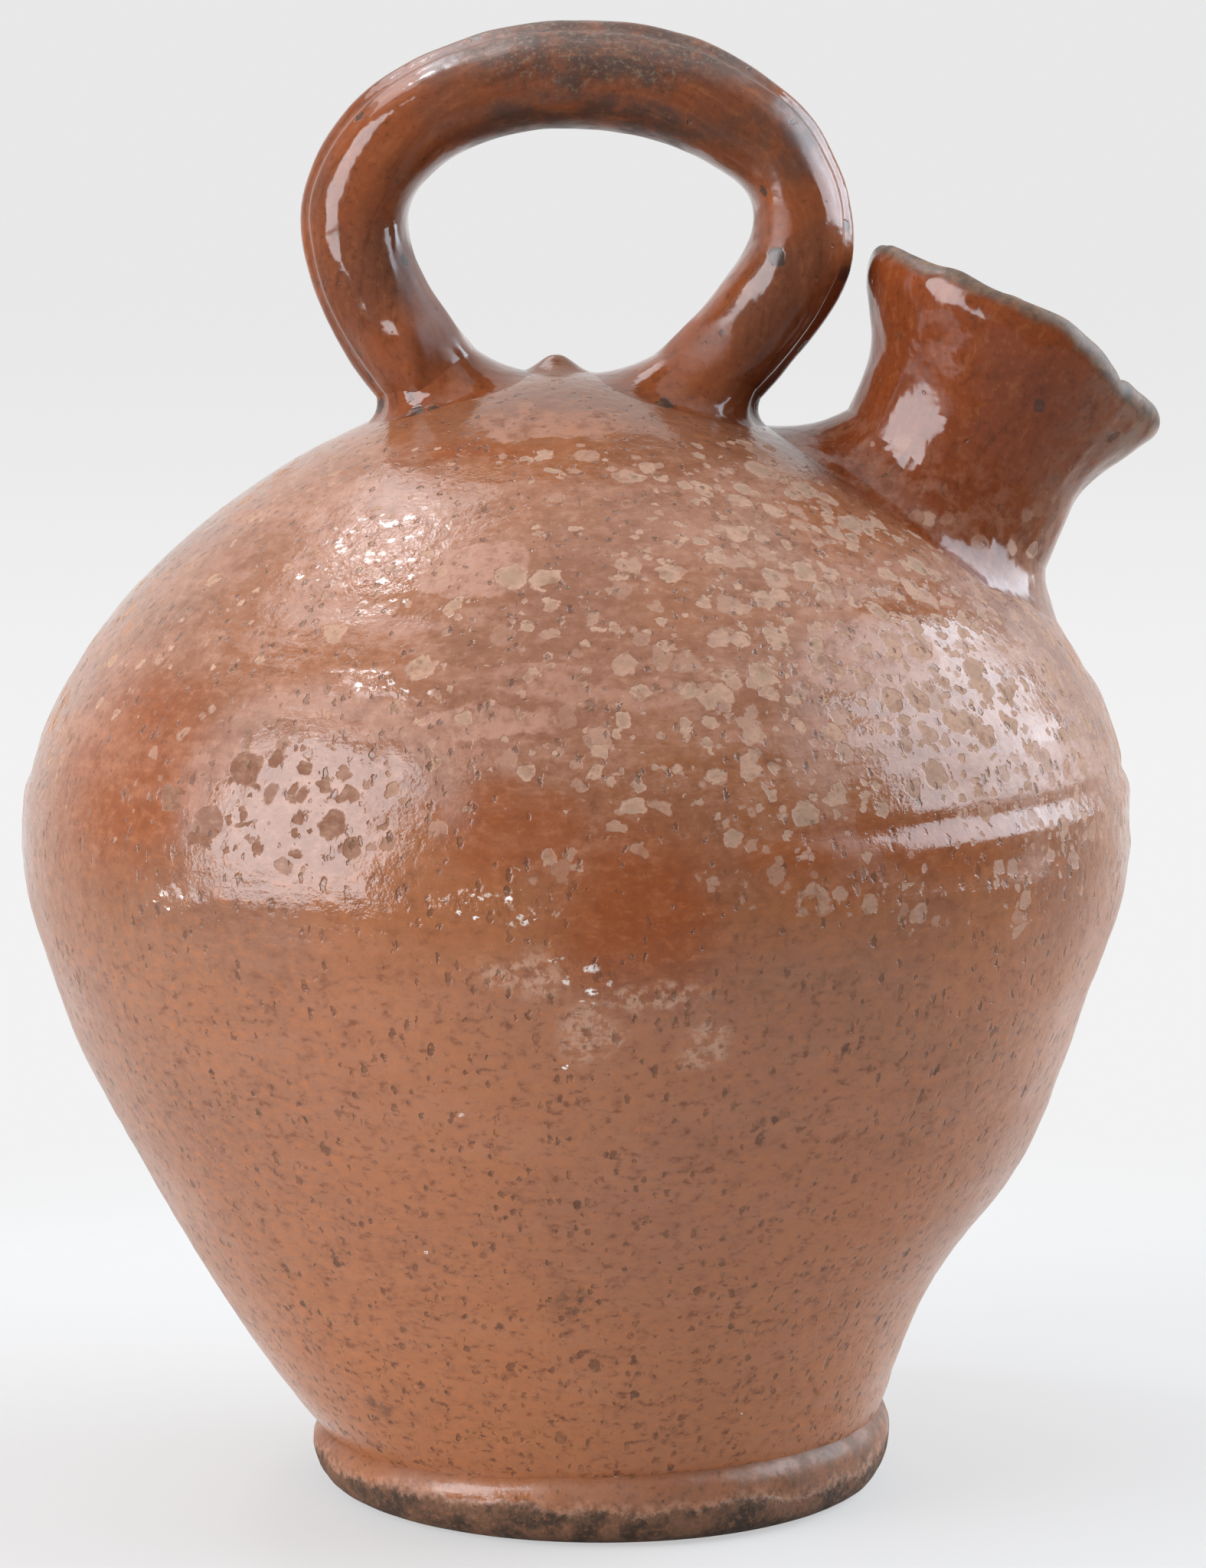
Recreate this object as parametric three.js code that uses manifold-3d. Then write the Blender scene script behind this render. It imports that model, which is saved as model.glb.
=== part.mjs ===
// An old oil jug of glazed earthenware: a closed ovoid body on a rolled foot, an overhead strap handle
// and one trumpet spout with a drooped pouring lip. Each piece of clay that the potter joined is a mesh.
// Millimetres, +Z up, +X towards the spout. The origin is the middle of the foot, on the ground.

import * as THREE from "three";
import { mergeVertices } from "three/addons/utils/BufferGeometryUtils.js";
import Module from "manifold-3d";

const wasm = await Module();
wasm.setup();

// Fits
const CLAY_GAP = 0.3; // between pieces of clay that meet on a curved face
const TRIM = 14; // how far a root runs on into the dome before it is trimmed to the wall

// Body
const WALL = 6;
const FLOOR = 9;
const BASE_RADIUS = 54; // flat underside, inside the foot ring
const WAIST_STEP = 9; // how far the groove above the foot stands out past the underside
const BELLY_RADIUS = 124.5;
const BELLY_Z = 150; // the belly joint, where the bowl and the dome meet
const DOME_TOP_Z = 253;
const WAIST_FLARE = 0.6; // radius gained for each millimetre of height just above the foot
const WAIST_STRAIGHT = 65; // pull of that slope on the lower wall
const BELLY_DROP = 35; // pull of the upright belly on the lower wall
const BELLY_RISE = 61; // pull of the upright belly on the dome
const DOME_FLAT = 34; // pull of the flat top on the dome
const WALL_STEPS = 11;
const ROUND_STEPS = 40;

// The potter's lean: how far the wall has drifted off the foot's axis at rising heights
const BODY_LEAN = -5.6;
const BODY_LEAN_Z = 58;
const SHOULDER_LEAN = -4.2;
const SHOULDER_LEAN_Z = 188;
const TOP_LEAN = -10;

// Foot ring
const FOOT_HEIGHT = 17;
const FOOT_STAND = 6.5; // width of the flat ring that touches the ground
const FOOT_ROLL = 4.9; // how far the roll swells out past that flat ring
const FOOT_ROUND_STEPS = 9;

// Closing button
const NUB_RADIUS = 8.4;
const NUB_HEIGHT = 4;
const NUB_POINT_RADIUS = 1.6;
const PLUG_RADIUS = 4;
const PLUG_STEPS = 20;

// Handle: half an ellipse over two legs that draw in to their roots
const HANDLE_WIDTH = 34;
const HANDLE_THICKNESS = 21.5;
const HANDLE_RIB = 1.6; // height of the raised middle rib on the outer face
const HANDLE_RIB_WIDTH = 13;
const HANDLE_MIDDLE_X = -5.2;
const HANDLE_INSET = 75.9; // how far inside the belly's radius the widest places of the strap lie
const HANDLE_BEND_RISE = 33.2; // of the widest place above the top of the dome
const HANDLE_CROWN = 31.45; // of the strap's middle line above the widest place
const LEG_BEND_RISE = 17; // where the legs begin to draw in, above the top of the dome
const LEFT_ROOT_X = -34.5;
const RIGHT_ROOT_X = 18.5;
const STRAP_SQUARENESS = 2.5; // 2 is an ellipse, more is boxier
const STRAP_STEPS = 24;
const LEG_STEPS = 6;
const CROWN_STEPS = 16;

// Luting round the handle's roots and the spout's base
const ROOT_FILLET_HEIGHT = 9;
const ROOT_FILLET_WIDTH = 6;
const COLLAR_HEIGHT = 11;
const COLLAR_WIDTH = 6.5;
const FEATHER_EDGE = 0.7; // thickness of the upper edge of a luting
const FILLET_STEPS = 4;

// Spout: a trumpet on a tilted axis
const SPOUT_STANDOFF = 32.3; // from the handle's widest place to where its axis leaves the dome
const SPOUT_TILT = 22; // degrees from upright
const SPOUT_NECK_RADIUS = 26.3;
const SPOUT_MOUTH_RADIUS = 36.4;
const SPOUT_WALL = 6;
const SPOUT_RIM_WALL = 4.5;
const RIM_ROUND = 1.8; // how far the rim's outer edge is rounded off
const SPOUT_LENGTH = 52.6; // from the dome to the rim along the axis
const SPOUT_FLARE_DEPTH = 27; // how far down from the rim the trumpet opens out
const LIP_DROOP = 12.5; // how far the pouring lip falls below the rest of the rim
const LIP_HALF_ANGLE = 95; // degrees to each side over which the lip falls
const LIP_TIP_ANGLE = 48; // degrees to each side over which its tip is drawn out
const LIP_PINCH = 2.4; // how far the sides of the lip are drawn in
const LIP_REACH = 2.2; // how far the tip of the lip is drawn out
const SPOUT_STEPS = 32;
const SPOUT_RINGS = 8;

const GLAZE = { color: 0x6e3a26, roughness: 0.32 };
const SMOKED_GLAZE = { color: 0x57301f, roughness: 0.36 };
const SPOUT_GLAZE = { color: 0x87472a, roughness: 0.4 };
const BARE_CLAY = { color: 0x5d463a, roughness: 0.85 };

const WAIST_RADIUS = BASE_RADIUS + WAIST_STEP; // bottom of the groove above the foot
const HANDLE_HALF_SPAN = BELLY_RADIUS - HANDLE_INSET;
const SPOUT_X = HANDLE_MIDDLE_X + HANDLE_HALF_SPAN + SPOUT_STANDOFF;

const { clamp, degToRad, lerp, smoothstep } = THREE.MathUtils;

// From 0 to 1 in even steps, both ends included.
function fractions(steps) {
  return Array.from({ length: steps + 1 }, (_, i) => i / steps);
}

// Where the middle of the wall lies in X at a height: off to one side straight from the foot's groove,
// a little back by the shoulder, and off again at the top.
function lean(z) {
  const early = 1 - clamp((z - FOOT_HEIGHT) / (BODY_LEAN_Z - FOOT_HEIGHT), 0, 1);
  return BODY_LEAN * (1 - early ** 2)
    + (SHOULDER_LEAN - BODY_LEAN) * smoothstep(z, BELLY_Z, SHOULDER_LEAN_Z)
    + (TOP_LEAN - SHOULDER_LEAN) * smoothstep(z, SHOULDER_LEAN_Z, DOME_TOP_Z);
}

// A closed geometry as a solid, with the seams of its skin merged.
function solid(geometry) {
  geometry.deleteAttribute("normal");
  geometry.deleteAttribute("uv");
  const merged = mergeVertices(geometry);
  const triangles = [];
  for (let i = 0; i < merged.index.count; i += 3) {
    const corners = [0, 1, 2].map((k) => merged.index.getX(i + k));
    if (new Set(corners).size === corners.length) {
      triangles.push(...corners);
    }
  }
  const vertProperties = new Float32Array(merged.attributes.position.array);
  const triVerts = new Uint32Array(triangles);
  return new wasm.Manifold(new wasm.Mesh({ numProp: 3, vertProperties, triVerts }));
}

// A skin turned about the upright axis from an outline of [radius, height].
function lathe(outline, steps) {
  const points = outline.map(([radius, height]) => new THREE.Vector2(radius, height));
  return new THREE.LatheGeometry(points, steps).rotateX(Math.PI / 2);
}

// A turned solid that leans with the wall.
function turned(outline) {
  const geometry = lathe(outline, ROUND_STEPS);
  const position = geometry.attributes.position;
  for (let i = 0; i < position.count; i++) {
    position.setX(i, position.getX(i) + lean(position.getZ(i)));
  }
  return solid(geometry);
}

// A turned solid that stands upright on the top of the dome.
function turnedOnTop(outline) {
  return solid(lathe(outline, PLUG_STEPS).translate(TOP_LEAN, 0, 0));
}

// A solid skinned over rings of points. A hollow one runs back inside itself to its first ring,
// and any other is closed by a flat fan at each end.
function skinned(rings, hollow = false) {
  const count = rings[0].length;
  const points = rings.flat();
  const index = [];
  const bands = hollow ? rings.length : rings.length - 1;
  for (let r = 0; r < bands; r++) {
    const low = r * count;
    const high = ((r + 1) % rings.length) * count;
    for (let i = 0; i < count; i++) {
      const next = (i + 1) % count;
      index.push(low + i, low + next, high + next, low + i, high + next, high + i);
    }
  }
  if (!hollow) {
    closeEnd(points, index, rings[0], 0, true);
    closeEnd(points, index, rings.at(-1), (rings.length - 1) * count, false);
  }
  const geometry = new THREE.BufferGeometry().setFromPoints(points);
  geometry.setIndex(index);
  return solid(geometry);
}

// Adds the fan of triangles that closes one end of a skin.
function closeEnd(points, index, ring, first, facesBack) {
  const middle = new THREE.Vector3();
  ring.forEach((point) => middle.addScaledVector(point, 1 / ring.length));
  const centre = points.push(middle) - 1;
  for (let i = 0; i < ring.length; i++) {
    const next = (i + 1) % ring.length;
    index.push(centre, first + (facesBack ? next : i), first + (facesBack ? i : next));
  }
}

// The wall's outer outline, as radius and height, from the waist to the belly and on to the top.
const lowerWall = new THREE.CubicBezierCurve(
  new THREE.Vector2(WAIST_RADIUS, FOOT_HEIGHT),
  new THREE.Vector2(WAIST_RADIUS + WAIST_FLARE * WAIST_STRAIGHT, FOOT_HEIGHT + WAIST_STRAIGHT),
  new THREE.Vector2(BELLY_RADIUS, BELLY_Z - BELLY_DROP),
  new THREE.Vector2(BELLY_RADIUS, BELLY_Z),
);
const domeWall = new THREE.CubicBezierCurve(
  new THREE.Vector2(BELLY_RADIUS, BELLY_Z),
  new THREE.Vector2(BELLY_RADIUS, BELLY_Z + BELLY_RISE),
  new THREE.Vector2(DOME_FLAT, DOME_TOP_Z),
  new THREE.Vector2(0, DOME_TOP_Z),
);

// The exact direction of a wall's outline, which is upright at the belly and level at the top.
function wallWay(wall, t) {
  const way = new THREE.Vector2();
  way.addScaledVector(wall.v1.clone().sub(wall.v0), (1 - t) ** 2);
  way.addScaledVector(wall.v2.clone().sub(wall.v1), 2 * (1 - t) * t);
  way.addScaledVector(wall.v3.clone().sub(wall.v2), t ** 2);
  return way.normalize();
}

// Points along a wall, moved out of its face by a distance, or into it if that is negative.
function wallPoints(wall, out) {
  return fractions(WALL_STEPS).map((t) => {
    const point = wall.getPoint(t);
    const way = wallWay(wall, t);
    return [point.x + way.y * out, point.y - way.x * out];
  });
}

// The place on a rising scale where a test stops being true, found by halving.
function turningPoint(low, high, isBelow) {
  while (high - low > 1e-6) {
    const middle = (low + high) / 2;
    if (isBelow(middle)) {
      low = middle;
    } else {
      high = middle;
    }
  }
  return low;
}

// Height of the dome's outer face at a distance from its middle.
function domeHeight(radius) {
  const t = turningPoint(0, 1, (middle) => domeWall.getPoint(middle).x > radius);
  return domeWall.getPoint(t).y;
}

function insideDome(point) {
  return point.z < domeHeight(Math.hypot(point.x - lean(point.z), point.y));
}

// The dome's height above a place on the line of the handle and the spout.
function domeHeightAt(x) {
  return turningPoint(BELLY_Z, DOME_TOP_Z, (z) => insideDome(new THREE.Vector3(x, 0, z)));
}

// The dome as a full block, grown by a gap, to trim what stands on it.
function domeBlock(gap) {
  return turned([[0, BELLY_Z], ...wallPoints(domeWall, gap)]);
}

function lowerBody() {
  const inside = wallPoints(lowerWall, -WALL).reverse();
  const floorEdge = inside.at(-1)[0] - WALL;
  const outside = [[BASE_RADIUS, 0], ...wallPoints(lowerWall, 0)];
  return turned([[0, 0], ...outside, ...inside, [floorEdge, FLOOR], [0, FLOOR]]);
}

function upperBody() {
  const outside = wallPoints(domeWall, 0);
  const inside = wallPoints(domeWall, -WALL).reverse();
  const shell = turned([...outside, ...inside, outside[0]]);
  return shell.subtract(plugHole()).subtract(spoutHole());
}

// A rolled ring: flat below, round outside, its top edge running into the groove.
function footRing() {
  const innerLow = BASE_RADIUS + CLAY_GAP;
  const innerHigh = WAIST_RADIUS + CLAY_GAP;
  const standsRadius = BASE_RADIUS + FOOT_STAND;
  // The handles stand far enough out for the middle of the roll to reach its full swell.
  const handle = (8 * (standsRadius + FOOT_ROLL) - standsRadius - innerHigh) / 6;
  const roll = new THREE.CubicBezierCurve(
    new THREE.Vector2(standsRadius, 0),
    new THREE.Vector2(handle, 0),
    new THREE.Vector2(handle, FOOT_HEIGHT),
    new THREE.Vector2(innerHigh, FOOT_HEIGHT),
  );
  const outside = fractions(FOOT_ROUND_STEPS).map((t) => roll.getPoint(t).toArray());
  return turned([[innerLow, 0], ...outside, [innerLow, 0]]);
}

// An upright round bar at the top of the dome.
function topBar(radius, lowZ, highZ) {
  return turnedOnTop([[0, lowZ], [radius, lowZ], [radius, highZ], [0, highZ]]);
}

function plugHole() {
  return topBar(PLUG_RADIUS + CLAY_GAP, DOME_TOP_Z - WALL - TRIM, DOME_TOP_Z + TRIM);
}

// The nub's spreading cone, grown by a gap.
function nubCone(gap) {
  const lowZ = DOME_TOP_Z - FEATHER_EDGE;
  const cone = new THREE.QuadraticBezierCurve(
    new THREE.Vector2(NUB_RADIUS + gap, lowZ),
    new THREE.Vector2(2 * NUB_POINT_RADIUS + gap, DOME_TOP_Z + FEATHER_EDGE),
    new THREE.Vector2(NUB_POINT_RADIUS + gap, DOME_TOP_Z + NUB_HEIGHT - NUB_POINT_RADIUS / 2),
  );
  const slope = fractions(FILLET_STEPS).map((t) => cone.getPoint(t).toArray());
  return turnedOnTop([[0, lowZ], ...slope, [0, DOME_TOP_Z + NUB_HEIGHT]]);
}

function closingButton() {
  const stem = topBar(PLUG_RADIUS, DOME_TOP_Z - WALL, DOME_TOP_Z + FEATHER_EDGE);
  return nubCone(0).subtract(domeBlock(CLAY_GAP)).add(stem);
}

// One leg's middle line, from its root on the dome up to the widest place of the handle.
function legCurve(side) {
  const rootX = side < 0 ? LEFT_ROOT_X : RIGHT_ROOT_X;
  const bendX = HANDLE_MIDDLE_X + side * HANDLE_HALF_SPAN;
  return new THREE.QuadraticBezierCurve(
    new THREE.Vector2(rootX, domeHeightAt(rootX)),
    new THREE.Vector2(bendX, DOME_TOP_Z + LEG_BEND_RISE),
    new THREE.Vector2(bendX, DOME_TOP_Z + HANDLE_BEND_RISE),
  );
}

// A point of the strap's skin: where the middle line is, which way it runs, the step round the strap
// and how far the skin has grown. The line runs up the left leg, over the top and down the right leg,
// so the strap's outer face always lies to the left of it.
function strapPoint(middle, along, step, grown) {
  const angle = (2 * Math.PI * step) / STRAP_STEPS;
  const round = (wave) => Math.sign(wave) * Math.abs(wave) ** (2 / STRAP_SQUARENESS);
  const across = round(Math.cos(angle)) * (HANDLE_WIDTH / 2 + grown);
  let out = round(Math.sin(angle)) * (HANDLE_THICKNESS / 2 + grown);
  if (out > 0) {
    out += HANDLE_RIB * (1 - smoothstep(Math.abs(across), 0, HANDLE_RIB_WIDTH / 2));
  }
  return new THREE.Vector3(middle.x - along.y * out, across, middle.y + along.x * out);
}

function strapRing(middle, along, grown) {
  return Array.from({ length: STRAP_STEPS }, (_, step) => strapPoint(middle, along, step, grown));
}

// The whole strap, from inside the dome at one root to inside it at the other, grown by a gap.
function strap(gap) {
  const left = legCurve(-1);
  const right = legCurve(1);
  const bendZ = DOME_TOP_Z + HANDLE_BEND_RISE;
  const crown = new THREE.EllipseCurve(
    HANDLE_MIDDLE_X, bendZ, HANDLE_HALF_SPAN, HANDLE_CROWN, Math.PI, 0, true,
  );
  const legSteps = fractions(LEG_STEPS);
  const crownSteps = fractions(CROWN_STEPS).slice(1, -1);
  const runs = [
    ...legSteps.map((t) => [left.getPoint(t), left.getTangent(t)]),
    ...crownSteps.map((t) => [crown.getPoint(t), crown.getTangent(t)]),
    ...legSteps.reverse().map((t) => [right.getPoint(t), right.getTangent(t).negate()]),
  ];
  const [firstPoint, firstWay] = runs[0];
  const [lastPoint, lastWay] = runs.at(-1);
  runs.unshift([firstPoint.clone().addScaledVector(firstWay, -TRIM), firstWay]);
  runs.push([lastPoint.clone().addScaledVector(lastWay, TRIM), lastWay]);
  return skinned(runs.map(([middle, way]) => strapRing(middle, way, gap)));
}

function handle() {
  return strap(0).subtract(domeBlock(CLAY_GAP));
}

// A skirt of clay round a root: feathered out on the root, spreading to the dome below. The skin of
// the root is given by its step, the distance along the root and how far it has grown.
function skirt(skinPoint, steps, height, width, gap) {
  const round = Array.from({ length: steps }, (_, step) => step);
  const starts = round.map((step) =>
    turningPoint(-TRIM, TRIM, (along) => insideDome(skinPoint(step, along, 0))));
  const ring = (rise, spread) => round.map((step) => skinPoint(step, starts[step] + rise, spread + gap));
  const rings = fractions(FILLET_STEPS).map((t) => ring(height * t, FEATHER_EDGE + width * (1 - t) ** 2));
  return skinned([ring(-TRIM, FEATHER_EDGE + width), ...rings]);
}

function rootSkirt(side, gap) {
  const leg = legCurve(side);
  const reach = leg.getLength();
  const skinPoint = (step, along, grown) => {
    const t = Math.max(along, 0) / reach;
    const up = leg.getTangentAt(t);
    const middle = leg.getPointAt(t).addScaledVector(up, Math.min(along, 0));
    // The right leg's line runs down, so its steps are counted the other way round.
    const onLeft = side < 0;
    return strapPoint(middle, onLeft ? up : up.negate(), onLeft ? step : STRAP_STEPS / 2 - step, grown);
  };
  return skirt(skinPoint, STRAP_STEPS, ROOT_FILLET_HEIGHT, ROOT_FILLET_WIDTH, gap);
}

function handleLuting(side) {
  return rootSkirt(side, 0)
    .subtract(strap(CLAY_GAP))
    .subtract(domeBlock(CLAY_GAP))
    .subtract(nubCone(CLAY_GAP))
    .subtract(spoutBlock(CLAY_GAP));
}

// A point in the spout's own frame: along its axis, and out from it at an angle from the lip.
function spoutPoint(along, out, angle) {
  const tilt = degToRad(SPOUT_TILT);
  const forward = out * Math.cos(angle);
  return new THREE.Vector3(
    SPOUT_X + along * Math.sin(tilt) + forward * Math.cos(tilt),
    out * Math.sin(angle),
    domeHeightAt(SPOUT_X) + along * Math.cos(tilt) - forward * Math.sin(tilt),
  );
}

function spoutAngle(step) {
  const turn = step / SPOUT_STEPS;
  return 2 * Math.PI * (turn > 0.5 ? turn - 1 : turn);
}

function rimAlong(angle) {
  return SPOUT_LENGTH - LIP_DROOP * (1 - smoothstep(Math.abs(angle), 0, degToRad(LIP_HALF_ANGLE)));
}

// How far the spout has opened out, from 0 at the neck to 1 at the rim.
function opening(along, angle) {
  return 1 - smoothstep(rimAlong(angle) - along, 0, SPOUT_FLARE_DEPTH);
}

// The spout's outer radius: a trumpet, drawn out at the lip's tip and pinched in at its sides.
function spoutRadius(along, angle) {
  const side = Math.min(Math.abs(angle) / degToRad(LIP_HALF_ANGLE), 1);
  const pinched = LIP_PINCH * Math.sin(Math.PI * side) ** 2;
  const drawn = LIP_REACH * (1 - smoothstep(Math.abs(angle), 0, degToRad(LIP_TIP_ANGLE))) - pinched;
  return lerp(SPOUT_NECK_RADIUS, SPOUT_MOUTH_RADIUS + drawn, opening(along, angle));
}

// A ring of the spout's wall, at a share of the way from inside the dome to a drop below the rim.
function spoutRing(share, drop, inset) {
  return Array.from({ length: SPOUT_STEPS }, (_, step) => {
    const angle = spoutAngle(step);
    const along = lerp(-2 * TRIM, rimAlong(angle) - drop, share);
    return spoutPoint(along, spoutRadius(along, angle) - inset(along, angle), angle);
  });
}

// The rings of the spout's outer face, grown by a gap, with the rim's edge rounded off.
function spoutOutside(gap) {
  const face = fractions(SPOUT_RINGS).map((share) => spoutRing(share, RIM_ROUND, () => -gap));
  return [...face, spoutRing(1, 0, () => RIM_ROUND - gap)];
}

// The spout with its bore filled, grown by a gap.
function spoutBlock(gap) {
  return skinned(spoutOutside(gap));
}

function spout() {
  const wall = (along, angle) => lerp(SPOUT_WALL, SPOUT_RIM_WALL, opening(along, angle));
  const inside = fractions(SPOUT_RINGS).map((share) => spoutRing(share, 0, wall));
  return skinned([...spoutOutside(0), ...inside.reverse()], true).subtract(domeBlock(CLAY_GAP));
}

// The hole through the dome that carries on the spout's bore.
function spoutHole() {
  const bore = SPOUT_NECK_RADIUS - SPOUT_WALL;
  const ring = (along) =>
    Array.from({ length: SPOUT_STEPS }, (_, step) => spoutPoint(along, bore, spoutAngle(step)));
  return skinned([ring(-2 * TRIM - WALL), ring(TRIM)]);
}

function spoutLuting() {
  const skinPoint = (step, along, grown) => {
    const angle = spoutAngle(step);
    return spoutPoint(along, spoutRadius(along, angle) + grown, angle);
  };
  return skirt(skinPoint, SPOUT_STEPS, COLLAR_HEIGHT, COLLAR_WIDTH, 0)
    .subtract(spoutBlock(CLAY_GAP))
    .subtract(domeBlock(CLAY_GAP))
    .subtract(rootSkirt(1, CLAY_GAP));
}

// A named mesh of one piece of clay.
function piece(name, body, finish) {
  const { vertProperties, triVerts } = body.getMesh();
  const geometry = new THREE.BufferGeometry();
  geometry.setAttribute("position", new THREE.BufferAttribute(vertProperties, 3));
  geometry.setIndex(new THREE.BufferAttribute(triVerts, 1));
  geometry.computeVertexNormals();
  const mesh = new THREE.Mesh(geometry, new THREE.MeshStandardMaterial({ ...finish, metalness: 0 }));
  mesh.name = name;
  return mesh;
}

const jug = new THREE.Group();
jug.add(piece("lower_body", lowerBody(), GLAZE));
jug.add(piece("upper_body", upperBody(), GLAZE));
jug.add(piece("foot_ring", footRing(), BARE_CLAY));
jug.add(piece("closing_button", closingButton(), GLAZE));
jug.add(piece("handle", handle(), SMOKED_GLAZE));
jug.add(piece("handle_luting_left", handleLuting(-1), SMOKED_GLAZE));
jug.add(piece("handle_luting_right", handleLuting(1), SMOKED_GLAZE));
jug.add(piece("spout", spout(), SPOUT_GLAZE));
jug.add(piece("spout_luting", spoutLuting(), SPOUT_GLAZE));

export default jug;
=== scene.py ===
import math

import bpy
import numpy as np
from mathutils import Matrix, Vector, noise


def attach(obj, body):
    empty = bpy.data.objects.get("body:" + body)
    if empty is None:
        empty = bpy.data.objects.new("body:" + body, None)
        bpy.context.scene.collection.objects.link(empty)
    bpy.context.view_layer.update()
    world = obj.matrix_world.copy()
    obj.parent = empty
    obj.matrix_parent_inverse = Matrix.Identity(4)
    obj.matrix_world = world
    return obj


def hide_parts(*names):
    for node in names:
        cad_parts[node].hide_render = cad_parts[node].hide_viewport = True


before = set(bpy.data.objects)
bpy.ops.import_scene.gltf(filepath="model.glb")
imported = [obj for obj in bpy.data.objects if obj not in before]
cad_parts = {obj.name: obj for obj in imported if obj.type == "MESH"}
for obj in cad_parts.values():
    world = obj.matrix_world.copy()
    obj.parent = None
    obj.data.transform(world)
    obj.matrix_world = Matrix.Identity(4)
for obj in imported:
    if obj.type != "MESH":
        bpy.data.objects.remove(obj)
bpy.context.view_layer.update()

# An old oil jug of glazed earthenware, made again as fine meshes with worn glaze on them. Shapes are
# worked out in millimetres, in the frame of the solids: +Z up, +X towards the spout, the middle of the
# foot at the origin. The meshes are made in metres.

MM = 0.001

# Body
WALL = 6.0
FLOOR = 9.0
BASE_RADIUS = 54.0
WAIST_RADIUS = 63.0
BELLY_RADIUS = 124.5
BELLY_Z = 150.0
DOME_TOP_Z = 253.0
LOWER_WALL = [(WAIST_RADIUS, 17), (102, 82), (BELLY_RADIUS, 115), (BELLY_RADIUS, BELLY_Z)]
DOME_WALL = [(BELLY_RADIUS, BELLY_Z), (BELLY_RADIUS, 211), (34, DOME_TOP_Z), (0, DOME_TOP_Z)]
UNDERSIDE_Z = 0.3
POLE_RADIUS = 0.8  # of the last ring round the very top
BODY_ROWS = 220
BODY_STEPS = 440

# The potter's lean
BODY_LEAN = -5.6
BODY_LEAN_Z = 58.0
SHOULDER_LEAN = -4.2
SHOULDER_LEAN_Z = 188.0
TOP_LEAN = -10.0

# Foot ring
FOOT_HEIGHT = 17.0
FOOT_STANDS_RADIUS = 58.3
FOOT_RADIUS = 65.6
FOOT_FULLEST_Z = 10.5
FOOT_SHIFT = 0.5  # how far the base stands out of true, towards the spout
WALL_SAG = 3.5  # how far the wall has sunk into the foot, away from the spout
WALL_SAG_Z = 60.0
FOOT_TOP_SINK = 1.5  # how far the roll's top edge runs into the wall
FOOT_STEPS = 320
CLAY_GAP = 0.3

# Closing button
NUB_RADIUS = 12.0
NUB_HEIGHT = 3.4
NUB_POINT_RADIUS = 1.6
NUB_SINK = 1.5  # how far its foot lies inside the dome
NUB_ROWS = 24
NUB_STEPS = 72

# Handle
HANDLE_WIDTH = 34.0
HANDLE_THICKNESS = 21.5
HANDLE_MIDDLE_X = -5.2
HANDLE_HALF_SPAN = 48.6
HANDLE_BEND_Z = 286.2
HANDLE_CROWN = 31.45
LEG_BEND_Z = 270.0
ROOT_X = {-1: -34.5, 1: 18.5}
STRAP_SQUARENESS = 2.5
STRAP_STEPS = 112
STRAP_PITCH = 1.6  # distance between rings along the strap
STRAP_SINK = 5.0  # how far each end runs on into the dome
RIB_HEIGHT = 1.6
RIB_WIDTH = 13.0
# Swells of the strap's section: place, width and how far each stands out
EDGE_BEAD = (10.4, 1.3, 0.45)  # aside from the middle rib
EDGE_GROOVE = (7.6, 1.1, -0.4)
SIDE_RIDGE = (-1.0, 2.0, 0.3)  # out from the middle line

# Lutings: the clay worked round the roots
HANDLE_LUTING_WIDTHS = (4.5, 3.5, 7.5, 4.0)  # all round, then what is added outside, inside and beside
HANDLE_LUTING_HEIGHTS = (7.0, 1.0, 5.0, 8.0)
HANDLE_LUTING_FULLNESS = 0.1  # on the inside
SIDE_CLAY = {-1: 0.4, 1: 1.0}  # share of the clay beside each root of the handle
SPOUT_LUTING_WIDTHS = (7.5, 8.0, 3.0)  # all round, then what is added behind and beside
SPOUT_LUTING_HEIGHTS = (11.0, 1.5, 8.0)
SPOUT_LUTING_FULLNESS = 0.6  # behind, where the clay fills the dip to the handle
FILLET_REACH = 14.0  # how far along a root its crossing with the dome is looked for
FILLET_TOP_SINK = 0.6  # how far the edges of a luting lie inside its neighbours
FILLET_FOOT_SINK = 0.5
FILLET_DEPTH = 2.5
FILLET_ROWS = 14
LUTING_RUN_ON = 20.0

# Spout
SPOUT_X = 75.7
SPOUT_TILT = math.radians(22)
SPOUT_NECK_RADIUS = 26.3
SPOUT_MOUTH_RADIUS = 36.4
SPOUT_WALL = 6.0
SPOUT_RIM_WALL = 4.5
SPOUT_LENGTH = 53.2
SPOUT_FLARE_DEPTH = 27.0
SPOUT_SIDE_FLARE = 10.0  # how much further down the flare begins at the sides
LIP_DROOP = 12.5
LIP_HALF_ANGLE = math.radians(95)
LIP_TIP_ANGLE = math.radians(48)
LIP_PINCH = 2.4
LIP_REACH = 2.2
# Swells of the rim: angle, width and rise
RIM_NICK = (-0.72, 0.06, -1.1)
LIP_SWELL = (-0.35, 0.22, 1.3)
RIM_ROUND = 7.0  # how far down the outside the rim is rounded over
RIM_ROUND_DEPTH = 3.6
RIM_EDGE = 0.8  # how far below the rim the inside begins
SPOUT_BACK_BULGE = 1.8
SPOUT_STEPS = 180
SPOUT_ROWS = 44
SPOUT_SINK = 15.0  # how far the tube runs on into the dome
SPOUT_HOLE_RADIUS = 23.3  # of the hole in the dome, hidden inside the tube's wall

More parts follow.
